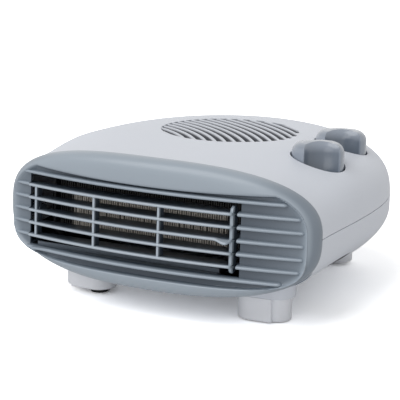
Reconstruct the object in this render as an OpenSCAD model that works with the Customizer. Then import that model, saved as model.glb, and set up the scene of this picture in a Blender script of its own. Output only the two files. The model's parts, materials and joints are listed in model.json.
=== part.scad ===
// Low, wide electric fan heater. Its case leans back, so most shapes are drawn
// upright in a case frame (x right, y back from the grille face, z up from the seam)
// and then set at the lean. Feet and pads are drawn straight on the floor.

/* [Case] */
// Width of the case at the seam
case_w = 256; // [250:1:262]
// Depth from the grille face to the back of the case
case_d = 230; // [224:1:240]
// Height of the top shell above the seam
top_h = 50.4; // [49:0.2:53]
// Depth of the bottom shell below the seam
bottom_h = 52; // [50:0.5:54]
// Wall thickness of the shells
shell_wall = 2.5; // [2:0.1:3]
// Lean of the case, in degrees, front raised
case_tilt = 3.75; // [3:0.25:4.5]
// Height of the seam above the floor at the front
seam_z = 72; // [70:0.5:74]
// Distance behind the grille face where the sides begin to close
straight_d = 98; // [94:1:102]

/* [Bezel] */
// How much narrower than the case the bezel is
bezel_step = 4.8; // [4:0.2:6]
// Height of the bezel above the seam
bezel_top_h = 46.8; // [46:0.1:47.5]
// Depth of the bezel below the seam
bezel_low_h = 49.5; // [48.5:0.1:50.5]
// How far the rear edge lies behind the grille face
bezel_depth = 12; // [10:0.5:14]
// Wall thickness of the bezel
bezel_wall = 2.2; // [1.8:0.1:2.6]
// Radius of the bow of the front, seen from above
bow_r = 470; // [440:5:520]
// Gap between the bezel and the shells
bezel_gap = 0.4; // [0.2:0.1:0.8]
// Width of the rim beside the ribbed recess
recess_side = 6.4; // [5.5:0.1:8]
// Height of the recess below the seam
recess_low = 39; // [38:0.5:40]
// Height of the forehead's lower edge at the middle
forehead_z = 27; // [26.5:0.5:29]
// Depth of the recess floor behind the grille face
recess_depth = 6; // [5:0.1:6.5]
// Radius of the recess floor's flatter bow
floor_bow_r = 560; // [530:10:600]

/* [Ribs and window] */
// Pitch of the ribs and of the louvre blades
rib_pitch = 9.4; // [9:0.1:9.6]
// Height of the top rib above the seam
top_rib_z = 24.2; // [23.8:0.1:24.6]
// Radius of a rib's rounded front
rib_r = 1.15; // [1:0.05:1.4]
// Number of ribs
rib_count = 7; // [7:1:7]
// Width of the ribbed field left of the window
left_field = 15; // [14:0.5:17]
// Width of the ribbed field right of the window
right_field = 47.5; // [45:0.5:49]
// How far the right-hand ribs reach into the window
rib_reach = 1.5; // [0.5:0.25:2]

/* [Louvre] */
// Gap between the louvre and the right side of the window
louvre_gap = 5; // [4:0.5:6]
// Gap between the louvre and the left side of the window
louvre_left_gap = 1; // [0.5:0.25:2]
// How far the first cross rib stands in from the blades' left ends
cross_inset = 5.5; // [4:0.5:7]
// Thickness of a blade, with a rounded front
blade_t = 2; // [1.6:0.1:2.3]
// Rear edge of the blades behind the grille face
blade_back = 22; // [20:0.5:22.5]
// Thickness of a cross rib
cross_t = 1.6; // [1.2:0.1:2]
// Number of bays between cross ribs
bay_count = 3; // [3:1:4]
// Distance of the swing axis behind the grille face
swing_y = 21; // [20.5:0.25:21.5]
// Radius of the pivot pins
pivot_r = 2.5; // [2:0.1:2.6]
// Length of the finger tab along the blade
tab_len = 13; // [11:1:16]
// How far the finger tab stands out
tab_out = 3; // [2:0.5:4]

/* [Air inlet] */
// Distance of the inlet and fan axis behind the grille face
inlet_y = 132; // [130:1:134]
// Radius of the slatted inlet
inlet_r = 52; // [50:0.5:53]
// Thickness of the slats
slat_h = 4.2; // [3:0.1:4.5]
// Pitch of the slats
slat_pitch = 7; // [6.5:0.1:8]
// Width of a slot between slats
slot_w = 3.8; // [3.4:0.1:3.9]
// Radius of the slats' curve
slat_curve = 200; // [180:5:240]
// Direction of the slats' centre of curvature
slat_dir = 50; // [45:1:60]

/* [Knobs] */
// Radius of a knob
knob_r = 19; // [18:0.5:19.5]
// Gap round a knob in its hole
knob_gap = 1.2; // [1:0.1:1.6]
// Height of a knob's top above the seam
knob_top = 58; // [56:0.5:62]
// Height of a knob's skirt edge above the seam
knob_low = 26; // [25.5:0.5:28]
// Radius of a knob's rounded shoulder
knob_shoulder = 6.5; // [5:0.5:8]
// Radius of a finger hollow, seen from above
hollow_r = 16.5; // [14:0.5:20]
// Half width of the grip between the hollows
grip_half = 6.5; // [5.5:0.5:7.5]
// Height of a finger hollow's floor above the seam
hollow_low = 31; // [30:0.5:34]
// Inset of the mode knob from the side of the case
mode_inset = 35.5; // [34:0.5:37]
// Distance between the two knobs along the case
knob_step = 58.5; // [57:0.5:60]
// Inset of the thermostat knob from the side of the case
thermo_inset = 43; // [42:0.5:45]
// Distance of the thermostat knob from the back of the case
thermo_back = 81.5; // [79:0.5:83]
// Direction of the mode knob's hollows from straight ahead
mode_turn = 37; // [0:1:60]
// Direction of the thermostat knob's hollows from straight ahead
thermo_turn = 28; // [0:1:60]
// Radius of a control spindle
spindle_r = 3; // [2.5:0.1:3.2]

/* [Feet] */
// Inset of the front feet from the side of the case
front_foot_inset = 54; // [52:1:58]
// Distance of the front feet behind the grille face
front_foot_y = 49; // [47:1:52]
// Length of a front foot
front_foot_len = 37; // [35:1:39]
// Inset of the rear feet from the side of the case
rear_foot_inset = 68; // [64:1:72]
// Distance of the rear feet from the back of the case
rear_foot_back = 31; // [29:1:36]
// Length of a rear foot
rear_foot_len = 30; // [28:1:34]
// Width of a foot
foot_w = 20; // [18:1:21]
// Splay of the feet, in degrees
foot_splay = 3; // [0:1:6]
// Height of a front foot's top above the floor
foot_top = 32; // [31:0.5:34]
// Height of a rear foot's top above the floor
rear_foot_top = 46; // [44:0.5:47]
// Thickness of the collar round a foot
collar_wall = 3.2; // [2.5:0.1:3.6]
// Height of a front collar's lower edge above the floor
collar_low = 18.5; // [17:0.5:20]
// Height of a rear collar's lower edge above the floor
rear_collar_low = 28; // [26:0.5:30]
// Clearance between a foot and its socket
foot_gap = 0.15; // [0.05:0.05:0.3]
// Radius of a rubber pad
pad_r = 7; // [6:0.5:8]
// Thickness of a rubber pad, part of it inside the foot
pad_h = 4; // [3:0.5:5]
// Height of a foot's lower face above the floor
foot_low = 2.5; // [2:0.1:3]
// Height of the front right foot's lower face above the floor
right_foot_low = 0.8; // [0.5:0.1:3]
// Where the shin of a front foot ends, outward from its middle
shin_along = 1.5; // [0:0.5:4]

/* [Element] */
// Front of the element behind the grille face
element_y = 32; // [31:0.5:33]
// Depth of the element
element_d = 16; // [14:0.5:17]
// Height of the element
element_h = 41; // [39:0.5:42]
// How far the element stands inside the window's left edge
element_in_left = 10; // [9:0.5:12]
// How far the element stands inside the window's right edge
element_in_right = 4; // [3:0.5:6]
// Thickness of an element end
end_t = 1.6; // [1.2:0.1:2]
// Thickness of a mica card
card_t = 0.6; // [0.4:0.1:1]
// Number of ribbon rows
ribbon_rows = 4; // [4:1:4]
// Pitch of a ribbon's folds
ribbon_pitch = 4; // [3:0.5:6]
// Thickness of a ribbon
ribbon_t = 0.5; // [0.4:0.1:0.8]

/* [Fan and motor] */
// Wall thickness of the scroll and the duct
scroll_wall = 1.8; // [1.4:0.1:2.2]
// Underside of the scroll floor, below the seam
scroll_low = 6; // [5:0.5:7]
// Gap between the scroll cover and the inlet slats
cover_gap = 4; // [3:0.5:5]
// Front of the scroll behind the grille face
scroll_front = 78; // [76:1:80]
// Radius of the fan wheel
wheel_r = 41; // [38:0.5:42]
// Height of the fan wheel
wheel_h = 34; // [30:0.5:35]
// Number of fan blades
wheel_blades = 28; // [20:1:36]
// Gap round the wheel at the scroll's tongue
tongue_gap = 5; // [4:0.5:6]
// Growth of the scroll's radius from the tongue to its widest
scroll_growth = 26; // [22:0.5:28]
// Radius of the motor shaft
shaft_r = 2; // [1.5:0.1:2.5]
// Running clearance of the shaft and spindles
run_gap = 0.05; // [0.02:0.01:0.09]
// Clearance of pieces pressed on a shaft
seat_gap = 0.03; // [0.02:0.01:0.05]
// Radius of the motor rotor
rotor_r = 14; // [12:0.5:15]
// Thickness of the stator stack
stator_h = 16; // [14:0.5:17]
// Air gap between rotor and stator
air_gap = 0.4; // [0.3:0.1:0.6]

/* [Hidden] */
$fn = 64;

shell_grey = [0.80, 0.81, 0.84];
trim_blue = [0.55, 0.60, 0.64];
rubber_black = [0.08, 0.08, 0.09];
steel = [0.72, 0.73, 0.75];
mica = [0.72, 0.66, 0.52];
wire_brown = [0.42, 0.36, 0.32];
dark_plastic = [0.14, 0.14, 0.15];
copper = [0.62, 0.34, 0.20];
white_plastic = [0.88, 0.87, 0.84];

// Bezel, window, element and duct edges
bezel_w = case_w - bezel_step;
recess_half_w = bezel_w / 2 - recess_side;
window_left = recess_half_w - left_field;
window_right = recess_half_w - right_field;
element_left = window_left - element_in_left;
element_right = window_right - element_in_right;
duct_left = element_left - 8;
duct_right = element_right - 2;
window_top = top_rib_z - rib_r;
low_rib_z = top_rib_z - (rib_count - 1) * rib_pitch;
window_low = low_rib_z + rib_r;

// The place of the case frame that centres the part over the floor: the bezel reaches
// furthest forward at front_z below the seam, and the case furthest back at back_z above
front_z = 0.7 * bezel_low_h;
back_z = 0.62 * top_h;
case_y = -(case_d * cos(case_tilt) + (back_z - front_z) * sin(case_tilt)) / 2;

// Roundness of the sections, plan and lengthways profiles
bezel_power = 2.72;
top_power = 3.54;
bottom_power = 2.2;
plan_power = 2.69;
top_profile = 10.5;
bottom_profile = 1.7;
corner_drop = 3;
back_angle = 87;
front_rows = 3;
back_rows = 14;
columns = 24;
last_row = front_rows + back_rows;
big = 400;
eps = 0.01;

function mix(a, b, t) = a + (b - a) * t;
function ease(t) = t * t * (3 - 2 * t);
function section(s, n) = pow(max(0, 1 - pow(min(1, abs(s)), n)), 1 / n);
function bow(x) = bow_r - sqrt(bow_r * bow_r - x * x);
// Height left on the way to the back, lost earlier where the share is larger
function closing(reach, share, n) = pow(max(0, 1 - pow(reach, n / (1 + share))), 1 / n);

module in_case() {
    translate([0, case_y, seam_z]) rotate([-case_tilt, 0, 0]) children();
}

// Rows of the shell form: straight rows first, then rows closing up to the back
function row_lean(k) = k < front_rows ? 1 - k / front_rows : 0;
function row_reach(k) = k < front_rows ? 0 : sin(back_angle * (k - front_rows) / back_rows);
function row_y(k, front, inset) = k < front_rows
    ? mix(front, straight_d, k / front_rows)
    : straight_d + (case_d - inset - straight_d) * row_reach(k);
function row_half_w(k, inset) = (mix(case_w / 2, bezel_w / 2, ease(row_lean(k))) - inset)
    * section(row_reach(k), plan_power);
function row_z(k, s, height, edge_h, power, profile, corner, inset) =
    (mix(height, edge_h, ease(row_lean(k))) - inset)
    * section(s, mix(power, bezel_power, ease(row_lean(k))))
    * closing(row_reach(k), corner * s * s, profile);

// Upper half of the case form, closed by a flat floor a little below the seam
module half_form(height, edge_h, power, profile, corner, inset, front, drop) {
    n = columns;
    m = last_row;
    arc_pts = [for (k = [0:m]) for (j = [0:n])
        let (s = -cos(180 * j / n), x = s * row_half_w(k, inset))
        [x, row_y(k, front, inset) + bow(x) * row_lean(k),
            row_z(k, s, height, edge_h, power, profile, corner, inset)]];
    sill_pts = [for (j = [0:n]) [arc_pts[j][0], arc_pts[j][1], -drop]];
    right_pts = [for (k = [1:m]) let (p = arc_pts[k * (n + 1) + n]) [p[0], p[1], -drop]];
    left_pts = [for (k = [1:m]) let (p = arc_pts[k * (n + 1)]) [p[0], p[1], -drop]];
    sill = (m + 1) * (n + 1);
    right = sill + n + 1 - 1;
    left = right + m;
    function at(k, j) = k * (n + 1) + j;
    function right_at(k) = k == 0 ? sill + n : right + k;
    function left_at(k) = k == 0 ? sill : left + k;
    skin = [for (k = [0:m - 1]) for (j = [0:n - 1])
        [at(k, j), at(k + 1, j), at(k + 1, j + 1), at(k, j + 1)]];
    front_cap = [for (j = [0:n - 1]) [sill + j, at(0, j), at(0, j + 1), sill + j + 1]];
    back_cap = [concat([right_at(m)], [for (j = [n:-1:0]) at(m, j)], [left_at(m)])];
    right_wall = [for (k = [0:m - 1]) [right_at(k), at(k, n), at(k + 1, n), right_at(k + 1)]];
    left_wall = [for (k = [0:m - 1]) [left_at(k + 1), at(k + 1, 0), at(k, 0), left_at(k)]];
    floor_cap = [concat([for (k = [0:m]) right_at(k)], [for (k = [m:-1:1]) left_at(k)],
        [for (j = [0:n - 1]) sill + j])];
    polyhedron(points = concat(arc_pts, sill_pts, right_pts, left_pts),
        faces = concat(skin, front_cap, back_cap, right_wall, left_wall, floor_cap),
        convexity = 4);
}

shell_front = bezel_depth + bezel_gap;
open_more = 3;

module top_form(inset, front, drop) {
    half_form(top_h, bezel_top_h, top_power, top_profile, corner_drop, inset, front, drop);
}

module bottom_form(inset, front, drop) {
    mirror([0, 0, 1])
        half_form(bottom_h, bezel_low_h, bottom_power, bottom_profile, 0, inset, front, drop);
}

// Case screws: two at the front, two at the back
boss_r = 5;
screw_r = 1.6;
screw_head_r = 3;
screw_head_h = 2.4;
screw_gap = 0.05;
case_screw_seat = 14;
case_screw_reach = 12;
thermo_y = case_d - thermo_back;
mode_y = thermo_y - knob_step;
front_boss_in = 20;
front_boss_step = 28;
front_boss_y = mode_y - front_boss_step;
rear_boss_in = 43;
rear_boss_back = 54;
front_boss = [case_w / 2 - front_boss_in, front_boss_y];
rear_boss = [case_w / 2 - rear_boss_in, case_d - rear_boss_back];
boss_places = [for (side = [-1, 1]) for (b = [front_boss, rear_boss]) [side * b[0], b[1]]];

// Knob axes
mode_x = case_w / 2 - mode_inset;
thermo_x = case_w / 2 - thermo_inset;
knob_places = [[mode_x, mode_y], [thermo_x, thermo_y]];

// Slatted inlet
slat_top = top_h - 1.4;
slat_low = slat_top - slat_h;
inlet_rim = 2;
slot_steps = floor((inlet_r - inlet_rim) / slat_pitch);
slat_centre = [-slat_curve * cos(slat_dir), inlet_y - slat_curve * sin(slat_dir)];

module slot(step) {
    off = step * slat_pitch;
    half = asin(sqrt(pow(inlet_r - inlet_rim, 2) - off * off) / (slat_curve + off));
    translate([slat_centre[0], slat_centre[1], slat_low - 1])
        rotate([0, 0, slat_dir - half])
        rotate_extrude(angle = 2 * half)
        translate([slat_curve + off - slot_w / 2, 0])
        square([slot_w, slat_h + 2]);
}

module inlet_slats() {
    difference() {
        translate([0, inlet_y, slat_low]) cylinder(r = inlet_r + 1, h = slat_h);
        for (step = [-slot_steps:slot_steps]) slot(step);
    }
}

module top_shell() color(shell_grey) in_case() {
    union() {
        difference() {
            top_form(0, shell_front, open_more);
            top_form(shell_wall, shell_front - open_more, 2 * open_more);
            translate([-big / 2, -big / 4, -big / 2]) cube([big, big, big / 2]);
            translate([0, inlet_y, 0]) cylinder(r = inlet_r, h = big);
            for (p = knob_places) translate([p[0], p[1], 0])
                cylinder(r = knob_r + knob_gap, h = big);
        }
        inlet_slats();
        difference() {
            intersection() {
                top_form(shell_wall / 2, shell_front, open_more);
                for (p = boss_places) translate([p[0], p[1], 0]) cylinder(r = boss_r, h = big);
            }
            for (p = boss_places) translate([p[0], p[1], -eps])
                cylinder(r = screw_r + screw_gap, h = case_screw_reach + 1);
        }
    }
}

// Posts that rise from the bottom shell to carry what is inside
post_r = 4;
post_pilot = 9;
inner_screw_r = 1.5;
inner_head_r = 2.75;
// The front posts stand beside the slanted sides of the scroll, which lead into the duct
tongue_angle = -35;
open_angle = 180;
side_in = 9.2;
tongue_in = 6.9;
side_post_y = inlet_y - 32;
tongue_post_y = inlet_y - 44;
open_r = wheel_r + tongue_gap + scroll_growth;
tongue_r = wheel_r + tongue_gap;
tongue_x = tongue_r * cos(tongue_angle);
tongue_y = inlet_y + tongue_r * sin(tongue_angle);
side_share = (inlet_y - 8 - side_post_y) / (inlet_y - 8 - scroll_front);
side_x = -open_r - (duct_left - open_r) * side_share;
tongue_share = (tongue_post_y - scroll_front) / (tongue_y - scroll_front);
slant_x = duct_right + (tongue_x - duct_right) * tongue_share;
scroll_posts = [[side_x + side_in, side_post_y], [slant_x - tongue_in, tongue_post_y],
    [-50, inlet_y + 38], [42, inlet_y + 26]];
bracket_x = [mode_x - 20, mode_x + 14];
bracket_post_y = (mode_y + thermo_y) / 2;
bracket_z = 22;
bracket_t = 1.5;
block_in = 50;
block_back = 72;
block_x = block_in - case_w / 2;
block_y = case_d - block_back;
block_z = -22;
block_len = 30;
block_w = 16;
block_h = 12;
block_ways = 3;
block_pitch = 10;
way_z = 4;
way_r = 1.8;
clamp_r = 2.4;
bush_x = -20;
bush_z = -11.5;
bush_r = 6;
bush_boss_r = 10;
bush_boss_in = case_d - 20;
bush_boss_out = case_d - 6;
bush_bore_r = 3.6;
bush_flange_r = 8.5;
bush_flange_t = 3;
flange_gap = 0.25;

module post(x, y, top) {
    difference() {
        translate([x, y, -bottom_h]) cylinder(r = post_r, h = top + bottom_h);
        translate([x, y, top - post_pilot])
            cylinder(r = inner_screw_r + screw_gap, h = post_pilot + 1);
    }
}

end_steps = 14;

module stadium(length, width, height) {
    reach = (length - width) / 2;
    linear_extrude(height) polygon([for (side = [1, -1]) for (i = [0:end_steps])
        let (a = -90 * side + 180 * i / end_steps)
        [side * reach + width / 2 * cos(a), width / 2 * sin(a)]]);
}

// Feet stand straight on the floor, each turned by the splay
// Each foot: side, distance out, distance back, length, way of its splay, lower face,
// collar's lower edge and top
front_foot_x = case_w / 2 - front_foot_inset;
rear_foot_x = case_w / 2 - rear_foot_inset;
rear_foot_y = case_d - rear_foot_back;
foot_names = [
    [-1, front_foot_x, front_foot_y, front_foot_len, 1, foot_low, collar_low, foot_top],
    [1, front_foot_x, front_foot_y, front_foot_len, 1, right_foot_low, collar_low, foot_top],
    [-1, rear_foot_x, rear_foot_y, rear_foot_len, -1, foot_low, rear_collar_low, rear_foot_top],
    [1, rear_foot_x, rear_foot_y, rear_foot_len, -1, foot_low, rear_collar_low, rear_foot_top]];

module at_foot(k, z) {
    f = foot_names[k];
    translate([f[0] * f[1], case_y + f[2], z])
        rotate([0, 0, f[0] * f[4] * foot_splay]) children();
}

module collars() {
    for (k = [0:3]) at_foot(k, foot_names[k][6])
        stadium(foot_names[k][3] + 2 * collar_wall, foot_w + 2 * collar_wall,
            foot_names[k][7] + shell_wall - foot_names[k][6]);
}

module sockets() {
    for (k = [0:3]) at_foot(k, foot_names[k][6] - 1)
        stadium(foot_names[k][3] + 2 * foot_gap, foot_w + 2 * foot_gap,
            foot_names[k][7] - foot_names[k][6] + 1);
}

module bottom_shell() color(shell_grey) {
    difference() {
        union() {
            in_case() difference() {
                bottom_form(0, shell_front, open_more);
                bottom_form(shell_wall, shell_front - open_more, 2 * open_more);
                translate([-big / 2, -big / 4, 0]) cube([big, big, big / 2]);
            }
            collars();
            in_case() translate([bush_x, bush_boss_in, bush_z]) rotate([-90, 0, 0])
                cylinder(r = bush_boss_r, h = bush_boss_out - bush_boss_in);
            in_case() intersection() {
                union() {
                    bottom_form(shell_wall / 2, shell_front, open_more);
                    translate([-big / 2, 0, -open_more]) cube([big, big, big / 2]);
                }
                union() {
                    for (p = boss_places) translate([p[0], p[1], -bottom_h])
                        cylinder(r = boss_r, h = bottom_h - eps);
                    for (p = scroll_posts) post(p[0], p[1], -scroll_low);
                    for (x = bracket_x) post(x, bracket_post_y, bracket_z);
                    translate([block_x, block_y, -bottom_h])
                        cylinder(r = post_r, h = bottom_h + block_z);
                }
            }
        }
        sockets();
        in_case() {
            for (p = boss_places) translate([p[0], p[1], 0]) {
                translate([0, 0, -bottom_h - 1])
                    cylinder(r = screw_head_r + 4 * screw_gap, h = bottom_h + 1 - case_screw_seat);
                translate([0, 0, -case_screw_seat - 1])
                    cylinder(r = screw_r + 4 * screw_gap, h = case_screw_seat + 2);
            }
            translate([bush_x, bush_boss_in - 1, bush_z]) rotate([-90, 0, 0])
                cylinder(r = bush_r, h = bush_boss_out - bush_boss_in + 2);
            translate([bush_x, bush_boss_out, bush_z]) rotate([-90, 0, 0])
                cylinder(r = bush_flange_r + flange_gap, h = case_d);
        }
    }
}

module screw(x, y, seat, shaft, radius, length, up) {
    translate([x, y, seat]) mirror([0, 0, up ? 0 : 1]) {
        translate([0, 0, -screw_head_h]) cylinder(r = shaft, h = screw_head_h);
        translate([0, 0, -eps]) cylinder(r = radius, h = length + eps);
    }
}

module case_screws() color(steel) in_case() {
    for (p = boss_places)
        screw(p[0], p[1], -case_screw_seat, screw_head_r, screw_r,
            case_screw_seat + case_screw_reach, true);
}

// Front bezel: a bowed shell whose front turns back to its rear edge
bezel_angles = 48;
bezel_rings = [1, 0.992, 0.98, 0.962, 0.935, 0.89, 0.8, 0.5];
edge_power = 13;
edge_land = 0.5;
side_power = 15;

function edge_x(a, half_w) = half_w * sign(cos(a)) * pow(abs(cos(a)), 2 / bezel_power);
function edge_z(a, inset) = ((sin(a) > 0 ? bezel_top_h : bezel_low_h) - inset)
    * sign(sin(a)) * pow(abs(sin(a)), 2 / bezel_power);
function turn_back(ring, x_share, depth) =
    depth * (1 - sqrt(1 - pow(ring, edge_power + side_power * pow(x_share, 3))));

module bezel_form(inset, forward, back_extra) {
    half_w = bezel_w / 2 - inset;
    n = bezel_angles;
    rings = len(bezel_rings);
    function share(a) = pow(abs(cos(a)), 2 / bezel_power);
    ring_pts = [for (r = bezel_rings) for (i = [0:n - 1])
        let (a = 360 * i / n, x = r * edge_x(a, half_w), z = r * edge_z(a, inset))
        [x, bow(x) + forward + turn_back(r, share(a), bezel_depth - edge_land), z]];
    rear_pts = [for (i = [0:n - 1]) let (p = ring_pts[i])
        [p[0], p[1] + edge_land + back_extra, p[2]]];
    centre = [[0, forward, 0]];
    rear = rings * n;
    skin = [for (k = [0:rings - 2]) for (i = [0:n - 1]) let (i2 = (i + 1) % n)
        [k * n + i, (k + 1) * n + i, (k + 1) * n + i2, k * n + i2]];
    nose = [for (i = [0:n - 1])
        [(rings - 1) * n + i, rear + n, (rings - 1) * n + (i + 1) % n]];
    side = [for (i = [0:n - 1]) let (i2 = (i + 1) % n)
        [rear + i, i, i2, rear + i2]];
    back = [for (i = [0:n / 2 - 1])
        let (a = i, b = i + 1, c = (n - i - 1) % n, d = (n - i) % n)
        a == d ? [rear + a, rear + b, rear + c]
            : (b == c ? [rear + a, rear + b, rear + d] : [rear + a, rear + b, rear + c, rear + d])];
    polyhedron(points = concat(ring_pts, rear_pts, centre),
        faces = concat(skin, nose, side, back), convexity = 4);
}

bow_fn = 360;

// A slab that follows the bow, between two depths behind the grille face
module bowed_slab(near, far, low, high, left, right) {
    a0 = asin(left / bow_r);
    a1 = asin(right / bow_r);
    translate([0, bow_r, low]) rotate([0, 0, -90 - a0])
        rotate_extrude(angle = a0 + a1, $fn = bow_fn)
        translate([bow_r - far, 0]) square([far - near, high - low]);
}

module bowed_bead(z, radius, depth, left, right) {
    a0 = asin(left / bow_r);
    a1 = asin(right / bow_r);
    translate([0, bow_r, z]) rotate([0, 0, -90 - a0])
        rotate_extrude(angle = a0 + a1, $fn = bow_fn)
        translate([bow_r - depth, 0]) circle(r = radius, $fn = 24);
}

// All that lies in front of the recess floor, or so far behind its surface
module before_floor(back) {
    a = asin(bezel_w / 2 / floor_bow_r);
    translate([0, recess_depth + floor_bow_r, -big / 2]) rotate([0, 0, -90 - a])
        rotate_extrude(angle = 2 * a, $fn = bow_fn)
        translate([floor_bow_r - back, 0]) square([big / 4, big]);
}

recess_power = 2.8;
low_power = 4.5;
forehead_rise = 4;
recess_high = 40;
recess_steps = 48;

function recess_top(x, inset) = min((recess_high - inset) * section(x / (recess_half_w - inset),
    recess_power), forehead_z - inset + forehead_rise * pow(x / recess_half_w, 2));
function recess_bottom(x, inset) = -(recess_low - inset)
    * section(x / (recess_half_w - inset), low_power);

module recess_prism(inset, near, far) {
    w = recess_half_w - inset;
    pts = concat([for (i = [0:recess_steps]) let (x = -w * cos(180 * i / recess_steps))
        [x, -recess_top(x, inset)]],
        [for (i = [1:recess_steps - 1]) let (x = w * cos(180 * i / recess_steps))
        [x, -recess_bottom(x, inset)]]);
    translate([0, near, 0]) rotate([-90, 0, 0]) linear_extrude(far - near) polygon(pts);
}

recess_wall = 1.8;
recess_floor_t = 2;
recess_set = 0.6;
lug_w = 6;
lug_step = 2;
lug_half = 5.5;
swing_z = top_rib_z - rib_pitch * (rib_count - 1) / 2;
skirt_len = 9;
skirt_wall = 1.8;
skirt_gap = 0.7;

function rib_half(z) = recess_half_w * (z > 0 ? section(z / recess_high, recess_power)
    : section(z / recess_low, low_power)) + recess_wall / 2;

module bezel_skirt() {
    inset = shell_wall + skirt_gap;
    intersection() {
        difference() {
            bezel_outline(inset);
            bezel_outline(inset + skirt_wall);
        }
        bowed_slab(bezel_depth / 2, bezel_depth + skirt_len, -bezel_low_h, bezel_top_h,
            bezel_w / 2, bezel_w / 2);
    }
}

module bezel_outline(inset) {
    pts = [for (i = [0:bezel_angles - 1]) let (a = 360 * i / bezel_angles)
        [edge_x(a, bezel_w / 2 - inset), -edge_z(a, inset)]];
    rotate([-90, 0, 0]) linear_extrude(2 * straight_d) polygon(pts);
}

function floor_y(x) = recess_depth + floor_bow_r - sqrt(floor_bow_r * floor_bow_r - x * x);

module pivot_lug(x0) {
    front = floor_y(x0 + lug_w / 2) + recess_floor_t / 2;
    translate([x0, front, swing_z - lug_half])
        cube([lug_w, swing_y + lug_half - front, 2 * lug_half]);
}

module bezel_face() difference() {
    union() {
        difference() {
            bezel_form(0, 0, 0);
            bezel_form(bezel_wall, bezel_wall, 5);
            recess_prism(0, -10, 3 * bezel_depth);
        }
        difference() {
            intersection() {
                recess_prism(-recess_wall, -big / 8, big / 4);
                bezel_form(recess_set, recess_set, 0);
                before_floor(recess_floor_t);
            }
            intersection() {
                recess_prism(0, -big / 4, big / 2);
                before_floor(0);
            }
        }
        bezel_skirt();
        pivot_lug(window_right + lug_step);
        pivot_lug(-window_left - lug_step - lug_w);
    }
    translate([-window_left, -10, window_low])
        cube([window_left + window_right, 60, window_top - window_low]);
    translate([-window_left - 20, swing_y, swing_z]) rotate([0, 90, 0])
        cylinder(r = pivot_r + run_gap, h = window_left + window_right + 40);
}

// A rib stands on the recess floor, its front edge rounded
module rib(z, left, right) {
    bowed_bead(z, rib_r, rib_r + rib_sink, left, right);
    intersection() {
        bowed_slab(rib_r + rib_sink, big / 8, z - rib_r, z + rib_r, left, right);
        before_floor(recess_floor_t / 2);
    }
}

rib_sink = 0.3;

module front_bezel() color(trim_blue) in_case() union() {
    bezel_face();
    intersection() {
        union() {
            for (k = [0:rib_count - 1]) let (z = top_rib_z - k * rib_pitch, half = rib_half(z))
                if (k == 0 || k == rib_count - 1) rib(z, half, half);
                else {
                    rib(z, rib_reach - window_right, half);
                    rib(z, half, -eps - window_left);
                }
        }
        recess_prism(-recess_wall / 2, -big / 8, big / 4);
    }
}

// Louvre insert: five blades on cross ribs, swinging on two pins
louvre_left = window_left - louvre_left_gap;
louvre_right = window_right - louvre_gap;
louvre_half = 24.5;
louvre_high = swing_z + louvre_half;
louvre_low = swing_z - louvre_half;
cross_front = 1;
end_front = 3;
end_plate_t = 2.2;
end_r = 26.4;
tab_tip = 2.5;
pin_end = 1;

module blade(z) {
    nose = blade_t / 2;
    bowed_bead(z, nose, nose, louvre_left, louvre_right);
    intersection() {
        bowed_slab(nose, big / 8, z - nose, z + nose, louvre_left, louvre_right);
        translate([-louvre_left, 0, z - blade_t])
            cube([2 * louvre_left, blade_back, 2 * blade_t]);
    }
}

module cross_rib(x, front_in, thick, low, high) {
    front = bow(x + thick / 2) + front_in;
    translate([x, front, low]) cube([thick, blade_back - front - 1, high - low]);
}

module louvre_insert() color(trim_blue) in_case() {
    bay = (louvre_left - cross_inset + louvre_right - end_plate_t) / bay_count;
    union() {
        for (k = [1:rib_count - 2]) blade(top_rib_z - k * rib_pitch);
        for (i = [0:bay_count - 1]) cross_rib(cross_inset - louvre_left + i * bay,
            cross_front, cross_t, low_rib_z + rib_pitch, top_rib_z - rib_pitch);
        intersection() {
            cross_rib(louvre_right - end_plate_t, end_front, end_plate_t,
                louvre_low, louvre_high);
            translate([-big / 2, swing_y, swing_z]) rotate([0, 90, 0])
                cylinder(r = end_r, h = big);
        }
        translate([0, 0, swing_z - blade_t / 2]) linear_extrude(blade_t) polygon([
            [louvre_right - tab_len, bow(louvre_right - tab_len) + 1],
            [louvre_right - tab_tip - 1, bow(louvre_right) - tab_out],
            [louvre_right - tab_tip + 1, bow(louvre_right) - tab_out],
            [louvre_right - 0.5, bow(louvre_right) + 1],
            [louvre_right - tab_len / 2, bow(louvre_right) + 6]]);
        translate([-window_left - lug_step - lug_w + pin_end, swing_y, swing_z])
            rotate([0, 90, 0])
            cylinder(r = pivot_r, h = louvre_left_gap + lug_step + lug_w - pin_end
                + cross_inset + cross_t / 2);
        translate([louvre_right - cross_t / 2, swing_y, swing_z]) rotate([0, 90, 0])
            cylinder(r = pivot_r, h = louvre_gap + lug_step + lug_w - pin_end + cross_t / 2);
    }
}

// Knobs: drums with a rounded shoulder and two finger hollows, each on its own spindle
knob_wall = 2.2;
knob_boss_r = 5.5;
knob_core_r = knob_r - knob_wall;
core_half = grip_half - knob_wall + 0.4;
core_roof = 3.5;
spindle_top = 50;
spindle_low = 8;
switch_low = 4;

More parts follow.
